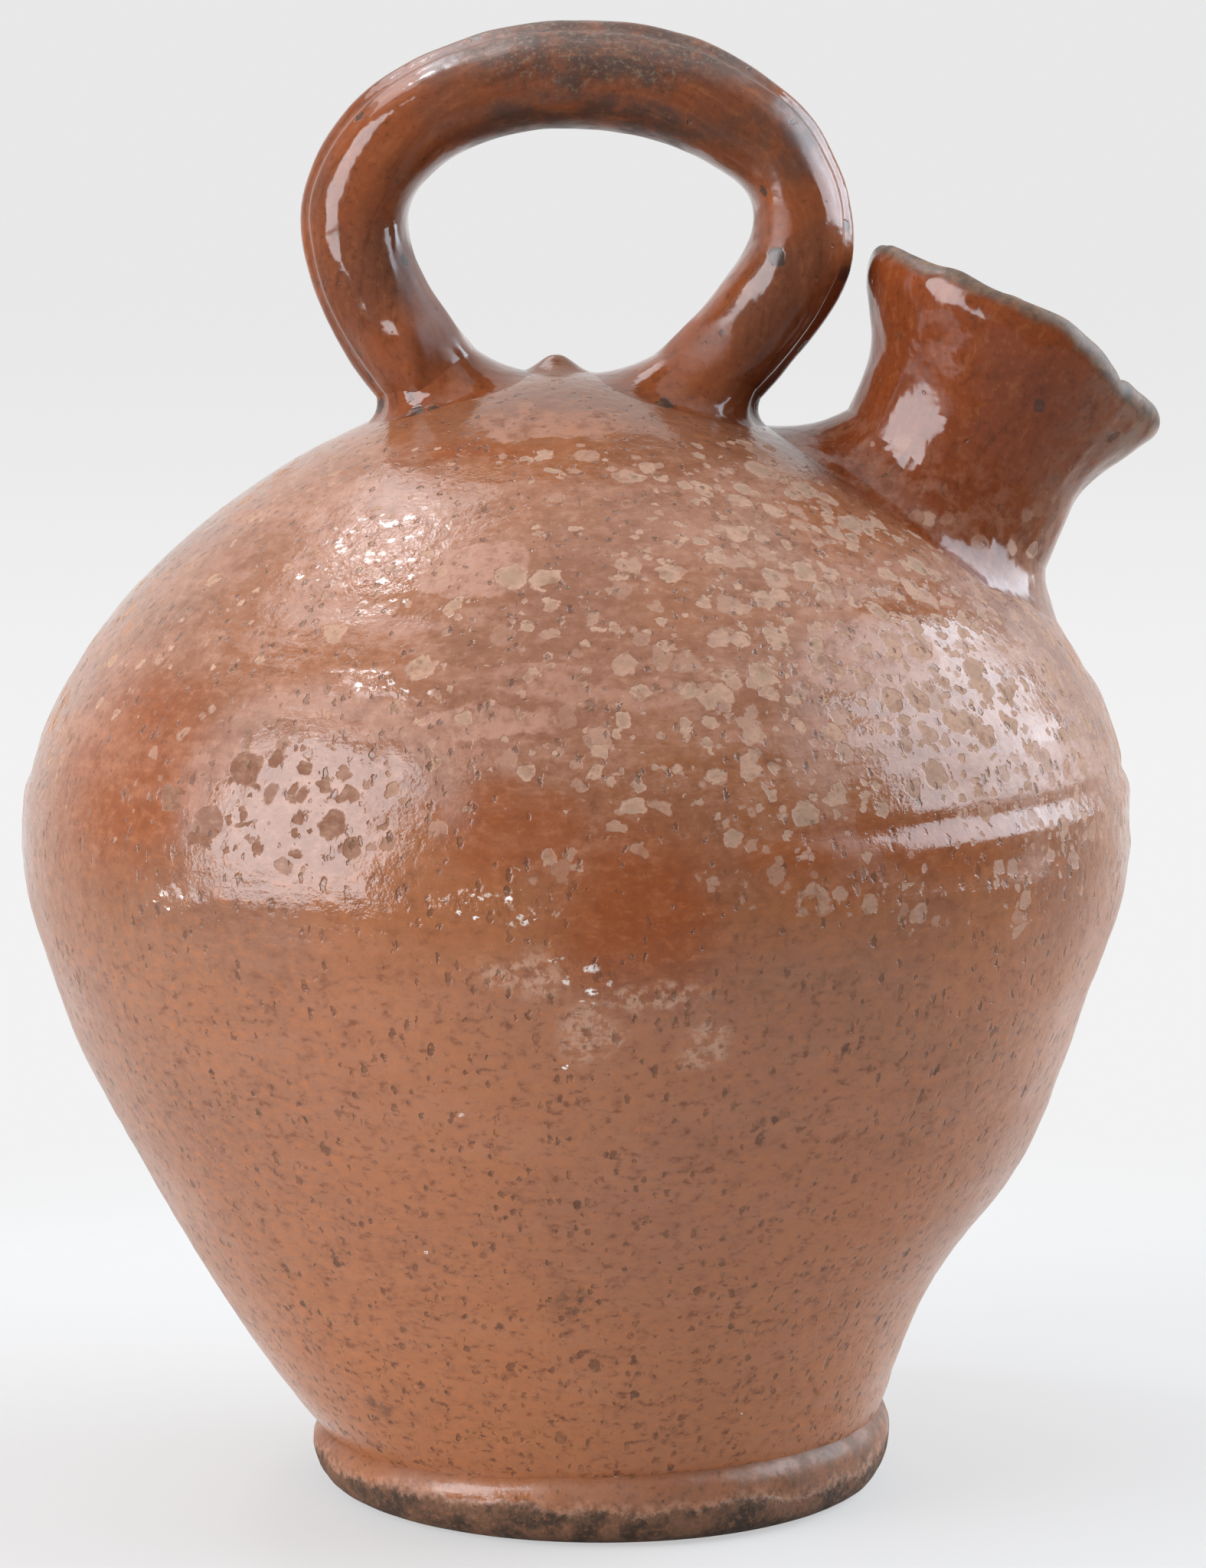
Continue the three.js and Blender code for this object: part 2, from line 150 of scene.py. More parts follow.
# Camera
CAMERA_PLACE = (0.00062, -1.1, 0.305)
CAMERA_PITCH = 0.131515
CAMERA_LENS = 112.61
CAMERA_SENSOR = 36.0


def smoothstep(value, low, high):
    t = np.clip((value - low) / (high - low), 0, 1)
    return t * t * (3 - 2 * t)


def swell(value, place, width, out):
    """A smooth swelling at a place on a scale."""
    return out * np.exp(-(((value - place) / width) ** 2))


def bezier(handles, t):
    """Points of a Bezier curve of any degree, at each t."""
    t = np.asarray(t, float)[..., None]
    points = [np.asarray(h, float) for h in handles]
    while len(points) > 1:
        points = [a + (b - a) * t for a, b in zip(points, points[1:])]
    return points[0]


def even_steps(points, count):
    """A polyline's points again, at even distances."""
    lengths = np.linalg.norm(np.diff(points, axis=0), axis=1)
    reach = np.concatenate([[0], np.cumsum(lengths)])
    even = np.linspace(0, reach[-1], count)
    return np.column_stack([np.interp(even, reach, column) for column in points.T])


def lean(z):
    """Where the middle of the wall lies in X at a height."""
    early = 1 - np.clip((z - FOOT_HEIGHT) / (BODY_LEAN_Z - FOOT_HEIGHT), 0, 1)
    return (
        BODY_LEAN * (1 - early**2)
        + (SHOULDER_LEAN - BODY_LEAN) * smoothstep(z, BELLY_Z, SHOULDER_LEAN_Z)
        + (TOP_LEAN - SHOULDER_LEAN) * smoothstep(z, SHOULDER_LEAN_Z, DOME_TOP_Z)
    )


FINE = np.linspace(0, 1, 2000)
DOME_LINE = bezier(DOME_WALL, FINE)
WALL_LINE = np.concatenate([bezier(LOWER_WALL, FINE), DOME_LINE[1:]])


def outside_dome(points):
    """How far points lie outside the dome's face, level with them. Negative inside."""
    x, y, z = np.moveaxis(points, -1, 0)
    return np.hypot(x - lean(z), y) - np.interp(z, DOME_LINE[:, 1], DOME_LINE[:, 0])


def crossing(low, high, point_at):
    """Where lines that start inside the dome leave it, found by halving."""
    for _ in range(40):
        middle = (low + high) / 2
        inside = outside_dome(point_at(middle)) < 0
        low, high = np.where(inside, middle, low), np.where(inside, high, middle)
    return low


def dome_z(x, y):
    x, y = np.asarray(x, float), np.asarray(y, float)
    low, high = np.full(x.shape, BELLY_Z), np.full(x.shape, DOME_TOP_Z)
    return crossing(low, high, lambda z: np.stack([x, y, z], -1))


def ripple(points, size, seed):
    """Smooth noise from -1 to 1 with bumps of a size, one value for each point."""
    offset = Vector((seed * 17.3, seed * -9.1, seed * 5.7))
    flat = points.reshape(-1, 3) / size
    values = [noise.noise(Vector(p) + offset) for p in flat]
    return np.array(values).reshape(points.shape[:-1])


def unevenness(points):
    """How far hand work has pushed the clay out of true. Every piece shares it, so joints stay closed."""
    return 0.8 * ripple(points, 75, 1) + 0.25 * ripple(points, 24, 2) + 0.07 * ripple(points, 8, 3)


def ring_normals(rings):
    """Outward normals of a grid of rings, from its neighbours along and around."""
    around = np.roll(rings, -1, axis=1) - np.roll(rings, 1, axis=1)
    along = np.gradient(rings, axis=0)
    normals = np.cross(around, along)
    return normals / np.maximum(np.linalg.norm(normals, axis=-1, keepdims=True), 1e-9)


def moved_out(rings, distance):
    return rings + ring_normals(rings) * distance[..., None]


def ring_faces(rows, steps, first=0, loop=False):
    """Quads between neighbouring rings of points."""
    r = np.arange(rows if loop else rows - 1)[:, None]
    s = np.arange(steps)[None, :]
    high, after = (r + 1) % rows, (s + 1) % steps
    corners = [r * steps + s, r * steps + after, high * steps + after, high * steps + s]
    return np.stack(np.broadcast_arrays(*corners), -1) + first


def fan(centre, ring, facing_back):
    """Triangles from a centre to a ring of point numbers."""
    after = np.roll(ring, -1)
    a, b = (after, ring) if facing_back else (ring, after)
    return np.column_stack([np.full(len(ring), centre), a, b]).tolist()


def capped(rings):
    """Points and faces of a solid skinned over rings, closed by a fan at each end."""
    rows, steps = rings.shape[:2]
    count = rows * steps
    points = np.concatenate([rings.reshape(-1, 3), [rings[0].mean(0), rings[-1].mean(0)]])
    faces = ring_faces(rows, steps).reshape(-1, 4).tolist()
    faces += fan(count, np.arange(steps), True)
    faces += fan(count + 1, np.arange(count - steps, count), False)
    return points, faces


def looped(rings):
    """Points and faces of a ring-shaped solid, whose last ring joins on to its first."""
    rows, steps = rings.shape[:2]
    return rings.reshape(-1, 3), ring_faces(rows, steps, loop=True).reshape(-1, 4).tolist()


def add_piece(name, shape, material, slot, *nodes):
    """A mesh that stands for CAD nodes and moves with the jug."""
    points, faces = shape
    mesh = bpy.data.meshes.new(name)
    mesh.from_pydata((points * MM).tolist(), [], faces)
    mesh.polygons.foreach_set("use_smooth", [True] * len(mesh.polygons))
    mesh.materials.append(material)
    mesh.update()
    piece = bpy.data.objects.new(name, mesh)
    bpy.context.scene.collection.objects.link(piece)
    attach(piece, "root")
    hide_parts(*nodes)
    return piece


def turned(outline, steps):
    """Rings turned from an outline of radius and height, leaning with the wall."""
    angle = np.linspace(0, 2 * np.pi, steps, endpoint=False)
    radius, z = outline[:, :1], outline[:, 1:]
    z = np.broadcast_to(z, (len(outline), steps))
    return np.stack([radius * np.cos(angle) + lean(z), radius * np.sin(angle), z], -1)


# The body

THROWING_RINGS = [  # height, width, how far it stands out
    (159.5, 2.3, 0.6),
    (164.5, 1.7, -0.55),
    (148.0, 2.4, 0.35),
    (181.0, 3.0, 0.3),
    (187.0, 2.0, -0.3),
    (203.0, 2.6, 0.35),
    (208.0, 1.8, -0.3),
    (121.0, 3.5, 0.2),
    (96.0, 4.0, -0.2),
    (70.0, 4.0, 0.2),
    (27.0, 2.0, -0.25),
]

PRESSED_PLACES = [  # middle, reach, and how far the wall stands out there
    ((-129.5, -6, 167), (5, 9, 3.2), -1.8),
    ((-72, 0, 228), (34, 70, 22), -0.9),
    ((-120, 0, 121), (40, 60, 13), -1.0),
    ((110, 0, 118), (40, 60, 14), -1.6),
    ((85, 0, 79), (45, 70, 18), 3.3),
    ((-80, 0, 45), (50, 70, 25), 0.7),
    ((-64, 0, 18), (50, 50, 14), 0.8),
    ((64, 0, 22), (40, 50, 14), 1.3),
    ((-52, 0, 242), (22, 60, 7), -0.75),
    ((99, 0, 200), (25, 40, 6), 1.3),
]
PRESSED_STRAP = [  # the same for the handle
    ((-42.5, -17, 262), (4, 8, 4.5), 1.8),
    ((-40.5, -17, 255), (2, 8, 6), 1.1),
    ((54, 0, 271), (9, 40, 17), 1.8),
    ((33, 0, 290), (5, 40, 18), -1.7),
]


def pressed(points, places=PRESSED_PLACES):
    """Dents and swellings, a chip in the wall among them."""
    return sum(
        out * np.exp(-(((points - np.array(middle)) / np.array(reach)) ** 2).sum(-1))
        for middle, reach, out in places
    )


def sagged(points):
    """The wall and its foot sunk together on the side away from the spout."""
    x, z = points[..., 0], points[..., 2]
    share = np.minimum(z / FOOT_HEIGHT, 1 - smoothstep(z, FOOT_HEIGHT, WALL_SAG_Z))
    lowered = points.copy()
    lowered[..., 2] -= WALL_SAG * share * smoothstep(-x, -20, 60)
    return lowered


def throwing_marks(points):
    """Rings that the potter's fingers left, fading where pieces are joined on."""
    z = points[..., 2] + 0.9 * ripple(points, 60, 4)
    marks = sum(swell(z, *ring) for ring in THROWING_RINGS)
    marks = marks * (0.25 + 0.75 * smoothstep(points[..., 0], -10, 60))
    squeezed = points * np.array([0.06, 0.06, 1.0])
    marks = marks + 0.1 * ripple(squeezed, 2.6, 5)
    return marks * (1 - smoothstep(points[..., 2], 205, 225))


def body():
    wall = even_steps(WALL_LINE, BODY_ROWS)
    wall = wall[wall[:, 0] > POLE_RADIUS]
    way = np.gradient(wall, axis=0)
    out = np.column_stack([way[:, 1], -way[:, 0]]) / np.linalg.norm(way, axis=1)[:, None]
    inner = wall - WALL * out
    sealed = inner[:, 1] > FLOOR
    true = turned(wall, BODY_STEPS)
    rings = sagged(moved_out(true, unevenness(true) + throwing_marks(true) + pressed(true)))
    foot = turned(np.array([[BASE_RADIUS / 2, UNDERSIDE_Z], [BASE_RADIUS, UNDERSIDE_Z]]), BODY_STEPS)
    outer = np.concatenate([foot, rings])
    floor = np.array([[BASE_RADIUS / 2, FLOOR], [inner[sealed][0, 0] - WALL, FLOOR]])
    inside = turned(np.concatenate([floor, inner[sealed]]), BODY_STEPS)
    return hollow_with_hole(outer, inside)


def hollow_with_hole(outer, inside):
    """A vessel of an outer and an inner skin, both open where the spout stands and joined round there."""
    steps = outer.shape[1]
    inner_first = len(outer) * steps
    skipped = len(outer) - len(inside)  # the inner skin has fewer rings below
    outer_cells = ring_faces(len(outer), steps)
    inner_cells = ring_faces(len(inside), steps, inner_first)
    points = np.concatenate([outer.reshape(-1, 3), inside.reshape(-1, 3)])
    middles = points[outer_cells].mean(2)
    hole = distance_from_spout_axis(middles) < SPOUT_HOLE_RADIUS
    hole &= middles[..., 2] > BELLY_Z
    inner_hole = hole[skipped:]
    faces = outer_cells[~hole].tolist() + inner_cells[~inner_hole][:, ::-1].tolist()
    row, step = np.nonzero(hole)
    shift = inner_first - skipped * steps
    beside = [
        (row, (step - 1) % steps, 3, 0),
        (row, (step + 1) % steps, 1, 2),
        (row - 1, step, 0, 1),
        (row + 1, step, 2, 3),
    ]
    for next_row, next_step, a, b in beside:
        edge = ~hole[next_row, next_step]
        cells = outer_cells[row[edge], step[edge]]
        start, end = cells[:, a], cells[:, b]
        faces += np.column_stack([start, end, end + shift, start + shift]).tolist()
    count = len(points)
    ends = [outer[0].mean(0), outer[-1].mean(0), inside[0].mean(0), inside[-1].mean(0)]
    ring = np.arange(steps)
    faces += fan(count, ring, True)
    faces += fan(count + 1, ring + inner_first - steps, False)
    faces += fan(count + 2, ring + inner_first, False)
    faces += fan(count + 3, ring + count - steps, True)
    return np.concatenate([points, ends]), faces


def foot_ring():
    """A roll of clay round the base, fullest above its middle, whose top sinks into the wall."""
    inner_low, inner_high = BASE_RADIUS + CLAY_GAP, WAIST_RADIUS - FOOT_TOP_SINK
    fullest = (FOOT_RADIUS, FOOT_FULLEST_Z)
    low = [(FOOT_STANDS_RADIUS, 0), (FOOT_RADIUS - 2.2, 0.4), (FOOT_RADIUS, 5), fullest]
    high = [fullest, (FOOT_RADIUS, 13.4), (FOOT_RADIUS - 0.7, 15.4), (inner_high, FOOT_HEIGHT)]
    low, high = even_steps(bezier(low, FINE), 22), even_steps(bezier(high, FINE), 14)
    outside = np.concatenate([low, high[1:]])
    under = np.linspace([inner_low, 0], [FOOT_STANDS_RADIUS, 0], 6)[:-1]
    inside = np.linspace([inner_high, FOOT_HEIGHT], [inner_low, 0], 8)[1:-1]
    rings = turned(np.concatenate([under, outside, inside]), FOOT_STEPS)
    z = rings[..., 2]
    worn = 0.4 * ripple(rings, 15, 7) + 0.25 * ripple(rings, 5, 8)
    uneven = (0.5 * unevenness(rings) + worn + pressed(rings) * z / FOOT_HEIGHT) * smoothstep(z, 0, 3)
    rings = moved_out(rings, uneven)
    rings[..., 0] += FOOT_SHIFT * (1 - smoothstep(z, 0, FOOT_FULLEST_Z))
    return looped(sagged(rings))


def closing_button():
    """A low pointed nub of clay on the top of the dome."""
    low, high = DOME_TOP_Z - NUB_SINK, DOME_TOP_Z + NUB_HEIGHT
    cone = [(NUB_RADIUS, low), (NUB_RADIUS * 0.3, low + 1.4), (NUB_POINT_RADIUS * 2, high), (0.2, high)]
    slope = bezier(cone, np.linspace(0, 1, NUB_ROWS))
    angle = np.linspace(0, 2 * np.pi, NUB_STEPS, endpoint=False)
    radius, z = slope[:, :1], np.broadcast_to(slope[:, 1:], (NUB_ROWS, NUB_STEPS))
    rings = np.stack([radius * np.cos(angle) + TOP_LEAN, radius * np.sin(angle), z], -1)
    return capped(rings + 0.3 * ripple(rings, 6, 9)[..., None])


# The handle


def leg_line(side):
    """One leg's middle line in X and Z, from its root on the dome to its widest place."""
    root = ROOT_X[side]
    bend = HANDLE_MIDDLE_X + side * HANDLE_HALF_SPAN
    return bezier([(root, float(dome_z(root, 0))), (bend, LEG_BEND_Z), (bend, HANDLE_BEND_Z)], FINE)


def run_on(line, distance):
    """A line made longer at its start, straight on."""
    way = (line[0] - line[1]) / np.linalg.norm(line[0] - line[1])
    return np.concatenate([[line[0] + way * distance], line])


def strap_line():
    """The strap's whole middle line: up the left leg, over the top and down the right leg."""
    turn = np.linspace(np.pi, 0, 400)[1:-1]
    crown = np.column_stack([
        HANDLE_MIDDLE_X + HANDLE_HALF_SPAN * np.cos(turn),
        HANDLE_BEND_Z + HANDLE_CROWN * np.sin(turn),
    ])
    left, right = run_on(leg_line(-1), STRAP_SINK), run_on(leg_line(1), STRAP_SINK)
    return np.concatenate([left, crown, right[::-1]])


def strap_section(angle):
    """The strap's outline with its ribs: how far points lie across the strap and out of it."""
    round_off = 2 / STRAP_SQUARENESS
    across = np.sign(np.cos(angle)) * np.abs(np.cos(angle)) ** round_off * HANDLE_WIDTH / 2
    out = np.sign(np.sin(angle)) * np.abs(np.sin(angle)) ** round_off * HANDLE_THICKNESS / 2
    aside = np.abs(across)
    ribs = RIB_HEIGHT * (1 - smoothstep(aside, RIB_WIDTH * 0.24, RIB_WIDTH * 0.5))
    ribs += swell(aside, *EDGE_BEAD) + swell(aside, *EDGE_GROOVE)
    ridge = swell(out, *SIDE_RIDGE)
    return across + np.sign(across) * ridge, out + np.where(out > 0, ribs, 0)


def strap_rings(line, angle):
    """Rings of the strap's skin round its middle line."""
    way = np.gradient(line, axis=0)
    way /= np.linalg.norm(way, axis=1)[:, None]
    across, out = strap_section(angle)
    x = line[:, :1] - way[:, 1:] * out
    z = line[:, 1:] + way[:, :1] * out
    return np.stack([x, np.broadcast_to(across, x.shape), z], -1)


def handle():
    line = strap_line()
    length = np.linalg.norm(np.diff(line, axis=0), axis=1).sum()
    line = even_steps(line, int(length / STRAP_PITCH))
    angle = np.linspace(0, 2 * np.pi, STRAP_STEPS, endpoint=False)
    rings = strap_rings(line, angle)
    kneaded = 0.45 * ripple(rings, 13, 6) + 0.12 * ripple(rings, 5, 12)
    return capped(moved_out(rings, unevenness(rings) + kneaded + pressed(rings, PRESSED_STRAP)))


def fillet(skin, heights, widths, fullness):
    """A ring of clay worked smooth between a root and the dome.

    The root's skin is given by the distance along it and how far it has grown. All round, the clay has
    a height up the root, a width over the dome and a fullness, from 0 for a hollow curve to 1 for a
    straight slope.
    """
    none = np.zeros_like(widths)
    start = crossing(none - FILLET_REACH, none + FILLET_REACH, lambda along: skin(along, 0))
    corner = skin(start, 0)
    high = skin(start + heights, -FILLET_TOP_SINK)
    aside = skin(start, 1) - corner
    aside = aside[:, :2] / np.linalg.norm(aside[:, :2], axis=1)[:, None]
    low = corner.copy()
    low[:, :2] += aside * widths[:, None]
    low[:, 2] = dome_z(low[:, 0], low[:, 1]) - FILLET_FOOT_SINK
    bend = corner + ((low + high) / 2 - corner) * fullness[:, None]
    shares = np.linspace(0, 1, FILLET_ROWS)
    rings = np.array([bezier([low, bend, high], np.full(len(widths), share)) for share in shares])
    rings = moved_out(rings, unevenness(rings) + pressed(rings))
    buried = skin(start, -FILLET_DEPTH)
    buried[:, 2] -= FILLET_DEPTH
    return looped(np.concatenate([rings, [(high + buried) / 2], [buried]]))


def handle_luting(side):
    line = run_on(leg_line(side), LUTING_RUN_ON)
    lengths = np.linalg.norm(np.diff(line, axis=0), axis=1)
    reach = np.concatenate([[0], np.cumsum(lengths)]) - LUTING_RUN_ON
    way = np.gradient(line, axis=0)
    way /= np.linalg.norm(way, axis=1)[:, None]
    angle = np.linspace(0, 2 * np.pi, STRAP_STEPS, endpoint=False)
    across, out = strap_section(angle)

    def skin(along, grown):
        x, z = (np.interp(along, reach, line[:, k]) for k in (0, 1))
        way_x, way_z = (np.interp(along, reach, way[:, k]) for k in (0, 1))
        far = out + grown * np.sin(angle)
        aside = across + grown * np.cos(angle)
        return np.stack([x + side * way_z * far, -side * aside, z - side * way_x * far], -1)

    outer, inner = np.clip(np.sin(angle), 0, 1), np.clip(-np.sin(angle), 0, 1)
    beside = np.abs(np.cos(angle)) * SIDE_CLAY[side]
    shares = np.array([np.ones_like(angle), outer, inner, beside])
    heights = np.array(HANDLE_LUTING_HEIGHTS) @ shares
    widths = np.array(HANDLE_LUTING_WIDTHS) @ shares
    return fillet(skin, heights, widths, HANDLE_LUTING_FULLNESS * inner)


# The spout

SPOUT_Z = float(dome_z(SPOUT_X, 0))
SPOUT_UP = np.array([math.sin(SPOUT_TILT), 0, math.cos(SPOUT_TILT)])
SPOUT_FORWARD = np.array([math.cos(SPOUT_TILT), 0, -math.sin(SPOUT_TILT)])


def distance_from_spout_axis(points):
    apart = points - np.array([SPOUT_X, 0, SPOUT_Z])
    along = apart @ SPOUT_UP
    return np.linalg.norm(apart - along[..., None] * SPOUT_UP, axis=-1)


def spout_points(along, radius, angle):
    forward = (radius * np.cos(angle))[..., None] * SPOUT_FORWARD
    points = np.array([SPOUT_X, 0, SPOUT_Z]) + along[..., None] * SPOUT_UP + forward
    points[..., 1] += radius * np.sin(angle)
    return points


def rim_along(angle):
    """Height of the rim along the axis, lowest at the lip."""
    drooped = LIP_DROOP * (1 - smoothstep(np.abs(angle), 0, LIP_HALF_ANGLE))
    uneven = 0.2 * np.sin(5 * angle + 1) + 0.2 * np.sin(9 * angle + 2) + 0.1 * np.sin(17 * angle)
    return SPOUT_LENGTH - drooped + uneven + swell(angle, *RIM_NICK) + swell(angle, *LIP_SWELL)


def spout_opening(along, angle):
    depth = SPOUT_FLARE_DEPTH + SPOUT_SIDE_FLARE * np.sin(angle) ** 2
    return 1 - smoothstep(rim_along(angle) - along, 0, depth)


def spout_radius(along, angle):
    side = np.minimum(np.abs(angle) / LIP_HALF_ANGLE, 1)
    drawn = LIP_REACH * (1 - smoothstep(np.abs(angle), 0, LIP_TIP_ANGLE))
    pinched = LIP_PINCH * np.sin(np.pi * side) ** 2
    mouth = SPOUT_MOUTH_RADIUS + drawn - pinched
    bulge = SPOUT_BACK_BULGE * smoothstep(np.abs(angle), math.radians(120), math.pi)
    return SPOUT_NECK_RADIUS + bulge + (mouth - SPOUT_NECK_RADIUS) * spout_opening(along, angle)


def spout():
    angle = np.linspace(-np.pi, np.pi, SPOUT_STEPS, endpoint=False)
    rim = rim_along(angle)
    behind = smoothstep(np.abs(angle), math.radians(100), math.pi)
    down_side = RIM_ROUND * (1 + 0.5 * behind)
    rounded = rim - down_side
    share = np.linspace(0, 1, SPOUT_ROWS)[:, None]
    along = -SPOUT_SINK + share * (rounded + SPOUT_SINK)
    outer = spout_points(along, spout_radius(along, angle), np.broadcast_to(angle, along.shape))
    turn = np.linspace(0, np.pi / 2, 14)[1:, None]
    edge_along = rounded + down_side * np.sin(turn)
    edge_radius = spout_radius(edge_along, angle) - RIM_ROUND_DEPTH * (1 - np.cos(turn))
    edge = spout_points(edge_along, edge_radius, np.broadcast_to(angle, edge_along.shape))
    down = -SPOUT_SINK + share * (rim - RIM_EDGE + SPOUT_SINK)
    wall = SPOUT_WALL + (SPOUT_RIM_WALL - SPOUT_WALL) * spout_opening(down, angle)
    inner = spout_points(down, spout_radius(down, angle) - wall, np.broadcast_to(angle, down.shape))
    rings = np.concatenate([outer, edge, inner[::-1]])
    worn_rim = 0.25 * ripple(rings, 5, 11) * smoothstep(rings @ SPOUT_UP, 225, 280)
    lumpy = 0.35 * ripple(rings, 11, 10) + worn_rim
    return looped(moved_out(rings, unevenness(rings) + lumpy))


def spout_luting():
    angle = np.linspace(-np.pi, np.pi, SPOUT_STEPS, endpoint=False)

    def skin(along, grown):
        return spout_points(along, spout_radius(along, angle) + grown, angle)

    behind = smoothstep(np.abs(angle), math.radians(115), math.pi)
    beside = np.sin(angle) ** 2
    shares = np.array([np.ones_like(angle), behind, beside])
    heights = np.array(SPOUT_LUTING_HEIGHTS) @ shares
    widths = np.array(SPOUT_LUTING_WIDTHS) @ shares
    return fillet(skin, heights, widths, SPOUT_LUTING_FULLNESS * behind)


# Materials

ORANGE_GLAZE = (0.28, 0.103, 0.044, 1)
RED_GLAZE = (0.23, 0.09, 0.046, 1)
WARM_GLAZE = (0.36, 0.132, 0.05, 1)
CLEAR_GLAZE_AND_DARK_REFLECTION = (0.245, 0.059, 0.015, 1)
SPOUT_GLAZE = (0.19, 0.036, 0.007, 1)
DEEP_GLAZE = (0.225, 0.06, 0.021, 1)
DEEP_RED_GLAZE = (0.15, 0.049, 0.024, 1)
LIGHT_GLAZE = (0.37, 0.132, 0.054, 1)
PALE_GLAZE = (0.4, 0.2, 0.132, 1)
DRY_GLAZE_AND_SHEEN = (0.43, 0.18, 0.1, 1)
DUSTY_GLAZE = (0.2, 0.122, 0.09, 1)
WORN_CLAY = (0.46, 0.265, 0.178, 1)
FLAKE_CORE = (0.32, 0.2, 0.128, 1)
BROWN_CLAY = (0.18, 0.076, 0.043, 1)
GREY_CLAY = (0.22, 0.145, 0.1, 1)
# white of lime grains, also used for painted glints
LIME_AND_GLINT_WHITE = (0.82, 0.76, 0.7, 1)
PIT_DIRT = (0.085, 0.04, 0.023, 1)
BURNT_GLAZE = (0.065, 0.02, 0.008, 1)
SMOKE = (0.045, 0.031, 0.025, 1)
RIM_CLAY = (0.16, 0.09, 0.052, 1)
RIM_DIRT = (0.075, 0.045, 0.03, 1)
BARE_CLAY = (0.147, 0.065, 0.032, 1)
CLAY_DIRT = (0.044, 0.022, 0.011, 1)


class Graph:
    """The nodes of a material, or of the world, added and linked step by step.

    Sizes and places are given in millimetres. What a coordinate node gives is in metres.
    """

    def __init__(self, name="", world=None):
        self.material = world or bpy.data.materials.new(name)
        self.material.use_nodes = True
        self.tree = self.material.node_tree
        self.tree.nodes.clear()
        self.place = self.add("ShaderNodeTexCoord").outputs["Generated" if world else "Object"]

    def add(self, kind, inputs=None, **settings):
        made = self.tree.nodes.new(kind)
        for name, value in settings.items():
            setattr(made, name, value)
        for key, value in (inputs or {}).items():
            if isinstance(value, bpy.types.NodeSocket):
                self.tree.links.new(value, made.inputs[key])
            else:
                made.inputs[key].default_value = value
        return made

    def math(self, operation, a, b=0.0):
        return self.add("ShaderNodeMath", {0: a, 1: b}, operation=operation).outputs[0]

    def times(self, *values):
        made = values[0]
        for value in values[1:]:
            made = self.math("MULTIPLY", made, value)
        return made

    def plus(self, *values):
        made = values[0]
        for value in values[1:]:
            made = self.math("ADD", made, value)
        return made

    def either(self, *shares):
        made = shares[0]
        for share in shares[1:]:
            made = self.math("MAXIMUM", made, share)
        return made

    def without(self, share, hidden):
        return self.times(share, self.math("SUBTRACT", 1.0, hidden))

    def vector(self, operation, a, b=(0, 0, 0)):
        made = self.add("ShaderNodeVectorMath", {0: a, 1: b}, operation=operation)
        return made.outputs["Value" if operation in ("LENGTH", "DOT_PRODUCT") else "Vector"]

    def between(self, value, low, high, to_low=0.0, to_high=1.0):
        """A value eased from one range to another."""
        ends = {"From Min": low, "From Max": high, "To Min": to_low, "To Max": to_high}
        inputs = {"Value": value, **ends}
        return self.add("ShaderNodeMapRange", inputs, interpolation_type="SMOOTHSTEP").outputs[0]

    def mixed(self, share, a, b):
        """Two colours mixed by a share."""
        return self.add("ShaderNodeMix", {0: share, 6: a, 7: b}, data_type="RGBA").outputs[2]

    def noise(self, size, detail=2.0, roughness=0.5, place=None):
        """Soft noise about 0.5, with blotches of a size."""
        inputs = {"Vector": place or self.place, "Scale": 1 / (size * MM)}
        inputs.update({"Detail": detail, "Roughness": roughness})
        return self.add("ShaderNodeTexNoise", inputs).outputs["Fac"]

    def stretched(self, x, y, z):
        return self.vector("MULTIPLY", self.place, (x, y, z))

    def shaken(self, size, reach):
        """Places moved about by noise, so that edges come out ragged."""
        inputs = {"Vector": self.place, "Scale": 1 / (size * MM), "Detail": 3.0}
        colour = self.add("ShaderNodeTexNoise", inputs).outputs["Color"]
        centred = self.vector("SUBTRACT", colour, (0.5, 0.5, 0.5))
        return self.vector("ADD", self.place, self.vector("MULTIPLY", centred, (reach * MM,) * 3))

    def spots(self, place, spacing, largest, share, edge=0.15):
        """Spots strewn about, of many strengths. A share of the cells of a spacing has one each."""
        cells = self.add("ShaderNodeTexVoronoi", {"Vector": place, "Scale": 1 / (spacing * MM)})
        chance = self.add("ShaderNodeSeparateColor", {0: cells.outputs["Color"]})
        radius = self.between(chance.outputs[0], 0.0, 1.0, 0.3 * largest / spacing, largest / spacing)
        inner, outer = self.times(radius, 1 - edge), self.times(radius, 1 + edge)
        inside = self.between(cells.outputs["Distance"], outer, inner)
        chosen = self.math("LESS_THAN", chance.outputs[1], share)
        return self.times(inside, chosen, self.between(chance.outputs[2], 0.0, 0.8, 0.4, 1.0))

    def near(self, place, centre, reach, edge=0.45):
        """1 at a place, falling to 0 at a reach along each axis."""
        apart = self.vector("SUBTRACT", place, [c * MM for c in centre])
        apart = self.vector("DIVIDE", apart, [r * MM for r in reach])
        return self.between(self.vector("LENGTH", apart), 1.0, 1.0 - edge)

    def shade(self, colour, roughness, height):
        """Ends the material. The height is in millimetres."""
        bump = self.add("ShaderNodeBump", {"Height": height, "Distance": MM, "Strength": 1.0})
        inputs = {"Base Color": colour, "Roughness": roughness, "IOR": 1.5, "Normal": bump.outputs[0]}
        shader = self.add("ShaderNodeBsdfPrincipled", inputs)
        self.add("ShaderNodeOutputMaterial", {"Surface": shader.outputs[0]})
        return self.material


